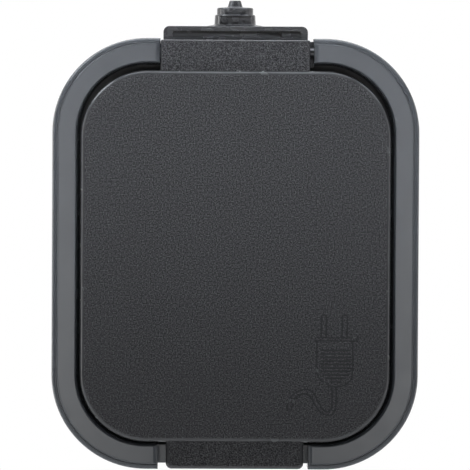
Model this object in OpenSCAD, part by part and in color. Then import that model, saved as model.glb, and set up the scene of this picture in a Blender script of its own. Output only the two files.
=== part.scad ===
// Surface-mounted weatherproof socket outlet with a spring-closed flap.
// Millimetres. The wall is the plane Y = 0, the front faces -Y and +Z is up.
// The origin is the centre of the back face. A depth is a distance from the wall.

/* [Front frame] */
// Width of the front frame, the widest piece
frame_w = 70; // [68:0.5:76]
// Height of the front frame
frame_h = 82.3; // [80:0.5:92]
// Corner radius of the front frame
frame_r = 18; // [16:0.5:20]
// Depth of the front frame, from its back to its flat band
frame_depth = 9; // [8.5:0.1:10]
// Width of the frame, from its outer to its inner edge
band_w = 4.5; // [4.2:0.05:4.7]
// Width of the rounded shoulder outside the flat band
shoulder_w = 0.8; // [0.6:0.1:1.2]
// Height of the flat band over the shoulder
band_step = 0.35; // [0.2:0.05:0.5]
// Wall of the hollow frame
frame_wall = 1.5; // [1.2:0.1:1.6]
// Width of the bevel on each end of the frame at its notches
end_bevel = 1; // [0.5:0.1:1.5]

/* [Back box] */
// How far the box outline lies inside the frame outline
box_inset = 1; // [0.6:0.1:1.4]
// Depth of the back box
box_depth = 34; // [33:0.5:42]
// Wall of the back box
box_wall = 2; // [1.6:0.1:2.2]
// Floor of the back box
floor_t = 2.2; // [1.8:0.1:3]
// Bevel round the rear edge of the box
rear_bevel = 0.8; // [0.4:0.1:1.2]
// Distance between the two wall fixing slots
fixing_pitch = 60; // [57:0.5:62]
// Width of a wall fixing slot
fixing_w = 4.5; // [4:0.1:5]
// Length of a wall fixing slot
fixing_l = 8; // [6:0.5:9]
// Diameter of the posts that take the cover screws
post_d = 7; // [6:0.1:7.4]
// Thickness of the seal between box and cover
seal_t = 1.2; // [1:0.1:2]

/* [Inner cover] */
// Height of the cover's side wall
cover_rim = 5.8; // [5.2:0.1:8]
// Thickness of the cover's front plate
cover_t = 2.5; // [2.2:0.1:3]
// Distance of the sealing collar from the flap's outline
collar_inset = 3.4; // [3.2:0.1:3.8]
// Thickness of the sealing collar
collar_t = 1.4; // [1:0.1:1.6]
// Height of the sealing collar and of the well's rim over the plate
collar_h = 2; // [1.6:0.1:2.2]
// Length of the lip that plugs into the box, from the seal
lip_l = 5.2; // [4:0.1:7]
// Thickness of the lip
lip_t = 1.4; // [1:0.1:1.8]

/* [Socket well] */
// Radius of the well that takes the plug
well_r = 20; // [19.8:0.1:20.4]
// Wall of the well
well_wall = 2; // [1.6:0.1:2.4]
// Depth of the well
well_depth = 17.5; // [16.5:0.1:18]
// Width of the two guide ribs
rib_w = 5; // [4:0.1:6]
// Height of the guide ribs inside the well
rib_h = 2.2; // [1.6:0.1:2.4]
// Width of the two windows for the earth springs
window_w = 9; // [8.6:0.1:10]

/* [Contacts] */
// Distance between the two pin holes
pin_pitch = 19; // [18.6:0.1:19.4]
// Diameter of a pin hole
pin_hole_d = 5.4; // [5:0.1:5.8]
// Thickness of the well's floor
well_floor_t = 3.5; // [3:0.1:4]
// Thickness of the brass strips
strip_t = 0.7; // [0.5:0.1:0.8]
// Width of the live and neutral contact springs
contact_w = 6; // [5:0.1:7]
// Width of the earth strip
earth_w = 8; // [7:0.1:8.2]
// Side of a square terminal block
terminal_s = 7; // [6:0.1:7.4]
// Diameter of the wire hole in a terminal block
wire_d = 3; // [2.4:0.1:3.4]

/* [Cable entry] */
// Width of the cable entry insert
insert_w = 28; // [27:0.1:29]
// Height of the insert's outer flange
insert_h = 3.4; // [3.2:0.05:3.8]
// Length of the insert along the depth
insert_l = 26; // [24:0.5:28]
// Diameter of the stepped nipple's lower step
nipple_d = 7.9; // [7.4:0.1:9]
// Height of the stepped nipple over the insert
nipple_h = 5.16; // [4.8:0.02:6]

/* [Flap] */
// Gap between flap and frame at the sides
side_gap = 0.95; // [0.8:0.05:1.2]
// Gap between flap and frame at the top
top_gap = 1.65; // [1.5:0.05:2]
// Gap between flap and frame at the bottom
bottom_gap = 0.85; // [0.8:0.05:1.2]
// Corner radius of the flap
flap_r = 12.8; // [12:0.1:14]
// Thickness of the flap's face
flap_t = 2; // [1.8:0.1:2.4]
// How far the flap's face stands in front of the frame
flap_proud = 1.5; // [1:0.1:2]
// Thickness of the flap's skirt
skirt_t = 1.6; // [1.3:0.1:1.8]
// Rounding round the flap's face
face_edge = 0.5; // [0.3:0.1:0.8]
// How far the hinge block and the pull lip lie behind the face
flap_step = 1.7; // [1.4:0.1:2]
// Width of the hinge block
block_w = 28.5; // [27:0.1:28.7]
// Width of the pull lip
pull_w = 26.3; // [24:0.1:27]
// Height of the pull lip below the face
pull_h = 5.3; // [4.6:0.1:5.3]

/* [Hinge] */
// Diameter of the hinge pin
hinge_pin_d = 1.8; // [1.6:0.05:1.9]
// Drop of the hinge axis below the frame's top
axis_drop = 2.75; // [2.7:0.05:2.85]
// Distance of the hinge axis behind the frame's front
axis_back = 2.6; // [2.5:0.05:2.8]
// Width of the upper notch in the frame
hinge_notch_w = 29.45; // [29.2:0.05:29.8]
// Width of the lower notch in the frame
pull_notch_w = 28.7; // [27.5:0.1:29.2]
// Diameter of the spring wire
wire_spring_d = 0.35; // [0.25:0.01:0.36]
// Full turns of the hinge spring
spring_turns = 9; // [6:1:11]

/* [Hidden] */
// Running and seating clearances, and one overrun for every cut
slip = 0.2;
seat_gap = 0.1;
pin_seat_gap = 0.03;
hinge_gap = 0.05;
soft_gap = 0.3;
screw_gap = 0.05;
pocket_gap = 0.4;
over = 1;

// Depths, counted from the wall
d_box = box_depth;
d_rim = d_box + seal_t;
d_plate = d_rim + cover_rim;
d_plate_back = d_plate - cover_t;
d_frame = d_plate + frame_depth;
d_face = d_frame + flap_proud;
d_face_back = d_face - flap_t;
d_step = d_face - flap_step;
d_collar = d_plate + collar_h;
d_well_floor = d_collar - well_depth;
d_carrier = d_well_floor - well_floor_t;
d_axis = d_frame - axis_back;

// Heights
top_z = frame_h / 2;
axis_z = top_z - axis_drop;

// Box outline
box_w = frame_w - 2 * box_inset;
box_h = frame_h - 2 * box_inset;
box_r = frame_r - box_inset;

// Flap outline, a little below the middle because its gaps differ
flap_w = frame_w - 2 * (band_w + side_gap);
flap_top = top_z - band_w - top_gap;
flap_bottom = -top_z + band_w + bottom_gap;
flap_h = flap_top - flap_bottom;
flap_z = (flap_top + flap_bottom) / 2;

// Frame section: radii of its edges, its crease and the draft of its inner wall
outer_edge_r = 0.25;
inner_edge_r = 0.3;
crease_w = 0.2;
crease_h = 0.15;
frame_draft = 0.4;
frame_inner = band_w + frame_draft;
end_bevel_h = 0.6;
arc_steps = 5;

// Notches, whose middles lie a little beside the centre line
hinge_notch_x = 0.125;
pull_notch_x = -0.285;
block_x = -0.19;
pull_x = 0.05;

// Snap hooks that hold the frame on the cover
hook_z = 15;
hook_w = 5.6;
hook_l = 4.2;
hook_barb = 0.8;
hook_barb_l = 1.15;

// Bridge that closes the ring behind the pull lip
bridge_h = 3.5;
bridge_drop = 0.8;

// Screws: radii and lengths
screw_r = 1.5;
screw_hole_r = screw_r + slip;
head_r = 2.8;
head_h = 2.2;
head_hole_r = head_r + slip;
head_hole_h = head_h + slip;
driver_w = 0.8;
driver_h = 1.1;
cover_screw_l = 14.6;
carrier_screw_l = 7.6;
terminal_screw_r = 1.45;
terminal_head_r = 2.2;
terminal_head_h = 2;
terminal_bite = 0.6;

// Contact carrier, earth strip and the places that follow from them
leaf_z = well_r + slip + pocket_gap;
carrier_w = 2 * (well_r + well_wall);
carrier_h = 2 * (leaf_z + strip_t / 2 + pocket_gap);
carrier_back = 4;
carrier_edge = 1.2;
strip_cover = 3.2;
d_strip = carrier_back + strip_cover;
d_terminal = d_strip + strip_t;
ear_side = 6.5;
ear_x = box_w / 2 - box_wall - ear_side;
ear_r = 4;
ear_t = 3;
d_ear = 12;
ear_post_r = 3.1;
pin_x = pin_pitch / 2;
terminal_side = 1.7;
terminal_end = 1.5;
terminal_x = carrier_w / 2 - terminal_s / 2 - terminal_side;
terminal_z = carrier_h / 2 - terminal_s / 2 - terminal_end;
terminal_share = 0.64;
wire_share = 0.4;
terminal_l = terminal_share * (d_carrier - d_terminal);
wire_depth = wire_share * terminal_l;
terminal_screw_l = terminal_l + seat_gap - wire_depth - wire_d / 2 + terminal_bite;
lead_w = 4;

// Contact springs: half widths of the base, the pinch and the mouth
base_half = 3;
pinch_half = 2.5;
mouth_half = 3.3;
pinch_back = 4;
belly_back = 8;
mouth_back = 1;

// Earth spring: how far its nose reaches in, and where
nose_in = 3.3;
nose_tip_in = 1.3;
nose_back = 6.5;
nose_run = 6.5;
nose_tip_back = 3.2;
window_end = 2.7;

// Flange of the well sleeve behind the cover
well_flange_w = 2.4;
well_flange_t = 1.6;

// Cover screws stand beside the carrier and inside the collar
cover_screw_side = 2.1;
cover_screw_x = flap_w / 2 - collar_inset - collar_t - head_r - cover_screw_side;
cover_screw_z = carrier_h / 2 + post_d / 2 + pocket_gap;

// Cable entry insert
insert_r = 1.15;
insert_back = d_box - insert_l;
insert_lap = 2;
entry_side = 1.4;
entry_w = insert_w - 2 * entry_side;
insert_floor_t = 1.4;
pocket_l = -12.26;
pocket_r = 12.65;
pocket_floor = 1.15;
pocket_h = 1.35;
pocket_deep = 1.5;
arch_x = 7.7;
arch_w = 2.5;
arch_h = 1.15;
arch_deep = 4;
pocket_rib_x = 9;
pocket_rib_w = 0.3;
nipple_depth = 13;
skirt_r = 6.3;
skirt_rise = 0.42;
step_in = 0.4;
upper_step_r = nipple_d / 2 - step_in;
lower_step_h = 2.36;
upper_step_h = 1.35;
cap_rise = 0.25;
tip_low_r = 1.45;
tip_top_r = 1.1;
nipple_bore_r = 2.4;
nipple_roof = 0.9;
slot_half = 3.05;
slot_floor = 0.45;
slot_h = 1.7;
slot_deep = 0.7;
boss_r = 0.7;
boss_hole_r = 0.32;
boss_x = -2.1;
key_s = 1.1;

// Flap: seal channel, hinge block and pull lip
skirt_gap = 1;
channel_back = 4;
seal_side = 0.5;
channel_out = collar_inset - seal_side;
channel_in = collar_inset + collar_t + seal_side;
channel_rib = 0.9;
block_over_axis = 2.45;
block_top = axis_z + block_over_axis;
block_edge = 0.3;
coil_room_r = 1.5;
coil_room_w = 20.6;
pull_r = 1;
pull_back = 4;
pull_wall = 1.6;
pull_edge = 1.2;
pull_skin = 1.8;

// Hinge pin and spring
pin_grip = 2.2;
end_wall = 1.2;
hinge_pin_r = hinge_pin_d / 2;
coil_gap = 0.125;
coil_r = hinge_pin_r + coil_gap + wire_spring_d / 2;
coil_pitch = wire_spring_d * 1.5;
spring_steps = 16;
wire_sides = 6;

// Shades of the pieces
frame_shade = "#6b6c6f";
dark_shade = "#2b2b2d";
flap_shade = "#3f3f41";
black_shade = "#1c1c1d";
rubber_shade = "#252526";
brass_shade = "#b59a4c";
steel_shade = "#b9bcc0";

$fn = 64;

// Points of an arc from angle a to angle b
function arc(c, r, a, b, steps = arc_steps) =
    [for (i = [0:steps]) let (t = a + (b - a) * i / steps) c + r * [cos(t), sin(t)]];

// Outline of a strip of thickness t that follows a path, with mitred corners
function unit(v) = v / norm(v);
function left(v) = [-v[1], v[0]];
function run(p, i) = unit(p[i + 1] - p[i]);
function mitre(p, i) =
    let (a = left(run(p, max(i - 1, 0))), b = left(run(p, min(i, len(p) - 2))), m = unit(a + b))
    m / (m * a);
function ribbon(p, t) = concat(
    [for (i = [0:len(p) - 1]) p[i] + mitre(p, i) * t / 2],
    [for (i = [len(p) - 1:-1:0]) p[i] - mitre(p, i) * t / 2]);

// A shape drawn in X and Z, made solid between two depths
module slab(d0, d1) {
    rotate([90, 0, 0]) translate([0, 0, d0]) linear_extrude(d1 - d0) children();
}

// A shape drawn in X and depth, made solid between two heights
module layer(z0, z1) {
    translate([0, 0, z0]) mirror([0, 1, 0]) linear_extrude(z1 - z0) children();
}

// A round bar along the depth
module rod(x, z, r, d0, d1) {
    translate([x, -d0, z]) rotate([90, 0, 0]) cylinder(h = d1 - d0, r = r);
}

// A rectangle given by its two corners
module area(low, high) {
    translate(low) square(high - low);
}

module rounded_rect(w, h, r) {
    square([w, h - 2 * r], center = true);
    square([w - 2 * r, h], center = true);
    for (x = [-1, 1], z = [-1, 1]) translate([x * (w / 2 - r), z * (h / 2 - r)]) circle(r);
}

// A flat ring that follows a rounded rectangle, between two insets
module outline_ring(w, h, r, inset_out, inset_in) {
    difference() {
        rounded_rect(w - 2 * inset_out, h - 2 * inset_out, r - inset_out);
        rounded_rect(w - 2 * inset_in, h - 2 * inset_in, r - inset_in);
    }
}

// A section swept round a rounded rectangle: its X runs outwards from the outline, its Y is the depth
module swept_section(w, h, r) {
    rotate([90, 0, 0]) for (side = [0:3]) {
        reach = side % 2 == 0 ? w / 2 : h / 2;
        straight = side % 2 == 0 ? h - 2 * r : w - 2 * r;
        rotate([0, 0, 90 * side]) {
            translate([reach, 0, 0]) rotate([90, 0, 0]) linear_extrude(straight, center = true) children();
            translate([reach - r, straight / 2, 0]) rotate_extrude(angle = 90) translate([r, 0]) children();
        }
    }
}

// Back box: tray with posts, fixing slots and a U cut-out for the cable entry
module back_box() {
    color(frame_shade) difference() {
        union() {
            swept_section(box_w, box_h, box_r) polygon([
                [-rear_bevel, 0], [0, rear_bevel], [0, d_box], [-box_wall, d_box], [-box_wall, 0]]);
            slab(0, floor_t) rounded_rect(box_w - 2 * box_wall, box_h - 2 * box_wall, box_r - box_wall);
            for (x = [-1, 1], z = [-1, 1])
                rod(x * cover_screw_x, z * cover_screw_z, post_d / 2, floor_t / 2, d_box);
            for (x = [-1, 1]) rod(x * ear_x, 0, ear_post_r, floor_t / 2, d_ear);
        }
        for (x = [-1, 1], z = [-1, 1])
            rod(x * cover_screw_x, z * cover_screw_z, screw_r + screw_gap,
                d_plate - head_hole_h - cover_screw_l - over, d_box + over);
        for (x = [-1, 1])
            rod(x * ear_x, 0, screw_r + screw_gap, d_ear + ear_t - carrier_screw_l - over, d_ear + over);
        for (z = [-1, 1]) translate([0, 0, z * fixing_pitch / 2]) slab(-over, floor_t + over) {
            square([fixing_w, fixing_l - fixing_w], center = true);
            for (end = [-1, 1]) translate([0, end * (fixing_l - fixing_w) / 2]) circle(fixing_w / 2);
        }
        translate([0, 0, box_h / 2 - box_wall - over])
            layer(0, box_wall + 2 * over) area([-entry_w / 2, insert_back + insert_lap], [entry_w / 2, d_box + over]);
    }
}

// Upper profile of the nipple, turned about its own axis
module nipple_profile(base_z) {
    step_r = nipple_d / 2;
    z_low = base_z + lower_step_h;
    z_up = z_low + upper_step_h;
    polygon([[0, base_z - insert_h / 2], [skirt_r, base_z - insert_h / 2], [skirt_r, base_z],
        [step_r, base_z + skirt_rise], [step_r, z_low], [upper_step_r, z_low], [upper_step_r, z_up],
        [tip_low_r, z_up + cap_rise], [tip_top_r, base_z + nipple_h], [0, base_z + nipple_h]]);
}

// Cable entry insert: grooved rubber plate with a stepped nipple to be cut open for the cable
module entry_insert() {
    wall_z = box_h / 2;
    base_z = wall_z + screw_gap + insert_h;
    nipple_y = -(insert_back + nipple_depth);
    nipple_front = -(insert_back + nipple_depth) - nipple_d / 2;
    slot_z = base_z + slot_floor;
    color(black_shade) difference() {
        union() {
            slab(insert_back, d_box) {
                area([-insert_w / 2, wall_z + screw_gap], [insert_w / 2, base_z - insert_r]);
                area([-insert_w / 2 + insert_r, wall_z + screw_gap], [insert_w / 2 - insert_r, base_z]);
                for (x = [-1, 1]) translate([x * (insert_w / 2 - insert_r), base_z - insert_r]) circle(insert_r);
            }
            slab(insert_back + insert_lap + slip, d_box)
                area([-entry_w / 2 + slip, wall_z - box_wall - slip], [entry_w / 2 - slip, wall_z + insert_h / 2]);
            slab(insert_back, d_box - lip_l + seal_t - slip)
                area([-insert_w / 2, wall_z - box_wall - insert_floor_t], [insert_w / 2, wall_z - box_wall - screw_gap]);
            translate([0, nipple_y, 0]) rotate_extrude() nipple_profile(base_z);
        }
        translate([0, nipple_y, wall_z - box_wall - insert_floor_t - over])
            cylinder(h = box_wall + insert_floor_t + over + insert_h + nipple_h - nipple_roof - upper_step_h,
                r = nipple_bore_r);
        slab(d_box - pocket_deep, d_box + over) difference() {
            area([pocket_l, wall_z + screw_gap + pocket_floor],
                [pocket_r, wall_z + screw_gap + pocket_floor + pocket_h]);
            area([pocket_rib_x, wall_z], [pocket_rib_x + pocket_rib_w, base_z]);
        }
        slab(d_box - arch_deep, d_box + over) translate([arch_x, wall_z + screw_gap + pocket_floor]) {
            area([-arch_w / 2, 0], [arch_w / 2, arch_h - arch_w / 4]);
            area([-arch_w / 4, 0], [arch_w / 4, arch_h]);
            for (x = [-1, 1]) translate([x * arch_w / 4, arch_h - arch_w / 4]) circle(arch_w / 4);
        }
        difference() {
            slab(-nipple_front - slot_deep, -nipple_front + over)
                area([-slot_half, slot_z], [slot_half, slot_z + slot_h]);
            rod(boss_x, slot_z + slot_h / 2, boss_r, insert_back, -nipple_front - boss_hole_r);
            slab(insert_back, -nipple_front - boss_hole_r)
                area([-key_s / 2, slot_z + slot_h - key_s], [key_s / 2, slot_z + slot_h]);
        }
        rod(boss_x, slot_z + slot_h / 2, boss_hole_r, -nipple_front - slot_deep, d_box);
    }
}

// Seal between box and cover
module box_gasket() {
    color(rubber_shade) slab(d_box, d_rim) outline_ring(box_w, box_h, box_r, seat_gap, box_wall - seat_gap);
}

// Inner cover: rim and plate with the sealing collar, the round hole for the well and four screw bosses
module inner_cover() {
    lip_out = box_wall + slip;
    plate_w = box_w - 2 * box_wall;
    plate_h = box_h - 2 * box_wall;
    color(dark_shade) difference() {
        union() {
            slab(d_rim, d_plate) outline_ring(box_w, box_h, box_r, 0, box_wall);
            slab(d_plate_back, d_plate) rounded_rect(plate_w, plate_h, box_r - box_wall);
            slab(d_rim - lip_l, d_rim) outline_ring(box_w, box_h, box_r, lip_out, lip_out + lip_t);
            slab(d_rim, d_rim + lip_t) outline_ring(box_w, box_h, box_r, box_wall / 2, lip_out + lip_t);
            translate([0, 0, flap_z]) slab(d_plate_back, d_collar)
                outline_ring(flap_w, flap_h, flap_r, collar_inset, collar_inset + collar_t);
            for (x = [-1, 1], z = [-1, 1])
                rod(x * cover_screw_x, z * cover_screw_z, post_d / 2, d_box + seat_gap, d_plate - cover_t / 2);
        }
        slab(d_plate_back - over, d_plate + over) circle(well_r + well_wall + slip);
        for (x = [-1, 1], z = [-1, 1]) {
            rod(x * cover_screw_x, z * cover_screw_z, screw_hole_r, d_box, d_plate);
            rod(x * cover_screw_x, z * cover_screw_z, head_hole_r, d_plate - head_hole_h, d_plate + over);
        }
        for (x = [-1, 1], z = [-1, 1]) translate([x * (frame_w / 2 - frame_inner), 0, z * hook_z])
            slab(d_plate_back - over, d_plate + over)
                area([x > 0 ? -slip : -frame_wall - slip, -hook_w / 2 - slip],
                    [x > 0 ? frame_wall + slip : slip, hook_w / 2 + slip]);
        slab(d_rim - lip_l - over, d_rim) area([-insert_w / 2 - pocket_gap, box_h / 2 - box_wall - lip_t - over],
            [insert_w / 2 + pocket_gap, box_h / 2]);
    }
}

// Well sleeve: round wall of the plug well, with two guide ribs, two windows and a flange behind the cover
module well_sleeve() {
    color(dark_shade) difference() {
        union() {
            slab(d_carrier + slip, d_collar) circle(well_r + well_wall);
            slab(d_plate_back - well_flange_t, d_plate_back - seat_gap) circle(well_r + well_wall + well_flange_w);
        }
        slab(d_carrier, d_well_floor + seat_gap) circle(well_r);
        slab(d_well_floor, d_collar + over) difference() {
            circle(well_r);
            for (x = [-1, 1]) translate([x * well_r, 0]) square([2 * rib_h, rib_w], center = true);
        }
        slab(d_carrier, d_collar - window_end) for (z = [-1, 1])
            translate([0, z * (well_r + well_wall / 2)]) square([window_w, 2 * well_wall], center = true);
    }
}

// Section of the frame's ring, with the hollow behind it
function frame_section() = let (
        crease_d = d_frame - band_step,
        edge_u = -shoulder_w - crease_w,
        hollow_d = d_frame - frame_wall)
    concat(
        [[0, d_plate]],
        arc([-shoulder_w, crease_d - shoulder_w], shoulder_w, 0, 90),
        [[-shoulder_w - crease_w / 4, crease_d - crease_h], [edge_u, crease_d - crease_h]],
        arc([edge_u - outer_edge_r, d_frame - outer_edge_r], outer_edge_r, 0, 90, 2),
        arc([-band_w + inner_edge_r, d_frame - inner_edge_r], inner_edge_r, 90, 180, 3),
        [[-frame_inner, d_plate], [-frame_inner + frame_wall, d_plate],
            [-frame_inner + frame_wall, hollow_d], [-frame_wall, hollow_d], [-frame_wall, d_plate]]);

// Plan of a notch that widens in a bevel at the front
module notch_plan(x, w) {
    half = w / 2;
    polygon([[x - half, d_plate - over], [x - half, d_frame - end_bevel_h], [x - half - end_bevel, d_frame],
        [x - half - end_bevel, d_frame + over], [x + half + end_bevel, d_frame + over],
        [x + half + end_bevel, d_frame], [x + half, d_frame - end_bevel_h], [x + half, d_plate - over]]);
}

// Front frame: hollow ring, open at the hinge, bridged behind the pull lip, clipped on the cover by four hooks
module front_frame() {
    fill_end = hinge_notch_x + hinge_notch_w / 2 + pin_grip + end_wall;
    hook_x = frame_w / 2 - frame_inner;
    bridge_half = pull_notch_w / 2 + frame_wall;
    color(frame_shade) union() {
        difference() {
            union() {
                swept_section(frame_w, frame_h, frame_r) polygon(frame_section());
                for (z = [-1, 1]) translate([0, 0, z * (top_z - frame_inner / 2)])
                    slab(d_plate, d_frame - frame_wall / 2)
                        square([2 * fill_end, frame_inner - frame_wall], center = true);
                for (x = [-1, 1], z = [-1, 1]) translate([0, 0, z * hook_z]) layer(-hook_w / 2, hook_w / 2)
                    polygon([for (p = [[0, d_plate + frame_wall], [0, d_plate_back - seat_gap],
                            [-hook_barb, d_plate_back - seat_gap],
                            [-hook_barb, d_plate_back - seat_gap - hook_barb_l / 2], [0, d_plate - hook_l],
                            [frame_wall, d_plate - hook_l], [frame_wall, d_plate + frame_wall]])
                        [x * (hook_x + p[0]), p[1]]]);
            }
            layer(top_z - frame_inner - over, top_z + over) notch_plan(hinge_notch_x, hinge_notch_w);
            layer(-top_z - over, -top_z + frame_inner + over) notch_plan(pull_notch_x, pull_notch_w);
            translate([hinge_notch_x - hinge_notch_w / 2 - pin_grip, -d_axis, axis_z]) rotate([0, 90, 0])
                cylinder(h = hinge_notch_w + 2 * pin_grip, r = hinge_pin_r + pin_seat_gap);
        }
        slab(d_plate, d_plate + bridge_h) area([pull_notch_x - bridge_half, -top_z + bridge_drop],
            [pull_notch_x + bridge_half, -top_z + band_w]);
    }
}

// Plan of a live or neutral strip from its contact to its terminal
module lead_plan(grow) {
    area([pin_x - lead_w / 2 - grow, -contact_w / 2 - grow], [pin_x + lead_w / 2 + grow, terminal_z + grow]);
    area([pin_x - lead_w / 2 - grow, terminal_z - terminal_s / 2 - grow],
        [terminal_x + terminal_s / 2 + grow, terminal_z + terminal_s / 2 + grow]);
}

// Plan of the earth strip across the carrier and its arm to the earth terminal
module earth_plan(grow) {
    area([-earth_w / 2 - grow, -leaf_z - strip_t / 2 - grow], [earth_w / 2 + grow, leaf_z + strip_t / 2 + grow]);
    area([-grow, -terminal_z - terminal_s / 2 - grow],
        [terminal_x + terminal_s / 2 + grow, -terminal_z + terminal_s / 2 + grow]);
}

// Contact carrier: moulded block with the well's floor, pin holes, pockets and two ears
module contact_carrier() {
    chamber_half = base_half + strip_t / 2 + pocket_gap * 2;
    d_pocket = d_terminal + terminal_l + slip;
    color(black_shade) difference() {
        union() {
            slab(carrier_back, d_carrier) rounded_rect(carrier_w, carrier_h, carrier_edge);
            slab(d_carrier - over, d_well_floor) circle(well_r - slip);
            slab(d_ear, d_ear + ear_t) {
                square([2 * ear_x, 2 * ear_r], center = true);
                for (x = [-1, 1]) translate([x * ear_x, 0]) circle(ear_r);
            }
        }
        for (x = [-1, 1]) {
            rod(x * pin_x, 0, pin_hole_d / 2, d_carrier - over, d_well_floor + over);
            slab(carrier_back - over, d_carrier) translate([x * pin_x, 0])
                square([2 * chamber_half, contact_w + 2 * pocket_gap], center = true);
            rod(x * ear_x, 0, screw_hole_r, d_ear - over, d_ear + ear_t + over);
            rod(x * ear_x, 0, ear_post_r + slip, carrier_back - over, d_ear);
            rod(x * ear_x, 0, head_hole_r, d_ear + ear_t, d_carrier + over);
            mirror([x > 0 ? 0 : 1, 0, 0])
                slab(carrier_back - over, d_terminal + slip) lead_plan(pocket_gap);
        }
        slab(carrier_back - over, d_terminal + slip) earth_plan(pocket_gap);
        for (z = [-1, 1]) slab(carrier_back - over, d_carrier + over) translate([0, z * (leaf_z + pocket_gap)])
            square([earth_w + 2 * pocket_gap, strip_t + 4 * pocket_gap], center = true);
        for (p = [[-1, 1], [1, 1], [1, -1]]) translate([p[0] * terminal_x, 0, p[1] * terminal_z]) {
            slab(carrier_back - over, d_pocket) square(terminal_s + 2 * pocket_gap, center = true);
            rod(0, 0, terminal_head_r + slip, d_terminal, d_carrier + over);
            translate([0, -d_terminal - wire_depth, 0]) rotate([p[1] > 0 ? 0 : 180, 0, 0])
                cylinder(h = terminal_s, r = wire_d / 2 + slip);
        }
    }
}

// Live contact: brass strip from the terminal, with two sprung leaves that grip a plug pin
module live_contact() {
    side = [[mouth_half, d_carrier - mouth_back], [pinch_half, d_carrier - pinch_back],
        [base_half, d_carrier - belly_back], [base_half, d_strip + strip_t / 2]];
    path = concat(side, [for (i = [len(side) - 1:-1:0]) [-side[i][0], side[i][1]]]);
    color(brass_shade) mirror([1, 0, 0]) {
        slab(d_strip, d_strip + strip_t) lead_plan(0);
        translate([pin_x, 0, 0]) layer(-contact_w / 2, contact_w / 2) polygon(ribbon(path, strip_t));
    }
}

module neutral_contact() {
    mirror([1, 0, 0]) live_contact();
}

// Earth bracket: one strip behind the well whose two sprung ends reach through the well's windows
module earth_bracket() {
    arm = [[leaf_z - nose_tip_in, d_collar - nose_tip_back], [leaf_z - nose_in, d_collar - nose_back],
        [leaf_z, d_collar - nose_back - nose_run], [leaf_z, d_strip + strip_t / 2]];
    path = concat(arm, [for (i = [len(arm) - 1:-1:0]) [-arm[i][0], arm[i][1]]]);
    color(brass_shade) {
        slab(d_strip, d_strip + strip_t) area([0, -terminal_z - terminal_s / 2],
            [terminal_x + terminal_s / 2, -terminal_z + terminal_s / 2]);
        rotate([90, 0, -90]) linear_extrude(earth_w, center = true)
            polygon([for (p = ribbon(path, strip_t)) [p[1], p[0]]]);
    }
}

// Terminal block: square brass block with a wire hole across it and a screw hole from the front
module terminal_block(x, z) {
    color(brass_shade) translate([x, 0, z]) difference() {
        slab(d_terminal, d_terminal + terminal_l) square(terminal_s, center = true);
        translate([0, -d_terminal - wire_depth, 0]) cylinder(h = terminal_s + over, r = wire_d / 2, center = true);
        rod(0, 0, terminal_screw_r + screw_gap, d_terminal + wire_depth, d_terminal + terminal_l + over);
    }
}

module live_terminal() { terminal_block(-terminal_x, terminal_z); }

module neutral_terminal() { terminal_block(terminal_x, terminal_z); }

module earth_terminal() { terminal_block(terminal_x, -terminal_z); }

// Screw along the depth, with a slotted head whose underside is at depth d
module screw(x, z, d, r, l, hr, hh) {
    color(steel_shade) difference() {
        union() {
            rod(x, z, r, d - l, d + hh / 2);
            rod(x, z, hr, d, d + hh);
        }
        translate([x, 0, z]) slab(d + hh - driver_h, d + hh + over) square([2 * hr + over, driver_w], center = true);
    }
}

module terminal_screw(x, z) {
    screw(x, z, d_terminal + terminal_l + seat_gap, terminal_screw_r, terminal_screw_l, terminal_head_r,
        terminal_head_h);
}

module live_screw() { terminal_screw(-terminal_x, terminal_z); }

module neutral_screw() { terminal_screw(terminal_x, terminal_z); }

module earth_screw() { terminal_screw(terminal_x, -terminal_z); }

// Two screws that hold the carrier's ears on their posts
module carrier_screws() {
    for (x = [-1, 1]) screw(x * ear_x, 0, d_ear + ear_t, screw_r, carrier_screw_l, head_r, head_h);
}

// Four screws that hold the cover on the box
module cover_screws() {
    for (x = [-1, 1], z = [-1, 1])
        screw(x * cover_screw_x, z * cover_screw_z, d_plate - head_hole_h, screw_r, cover_screw_l, head_r, head_h);
}

// Section of the flap's edge: rounded rim, skirt and the channel that holds the seal
function flap_section() = let (
        skirt_d = d_plate + skirt_gap,
        channel_d = d_face_back - channel_back,
        rib_in = channel_in + channel_rib)
    concat(
        [[0, skirt_d]],
        arc([-face_edge, d_face - face_edge], face_edge, 0, 90),
        [[-rib_in, d_face], [-rib_in, channel_d], [-channel_in, channel_d], [-channel_in, d_face_back],
            [-channel_out, d_face_back], [-channel_out, channel_d], [-skirt_t, channel_d], [-skirt_t, skirt_d]]);

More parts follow.
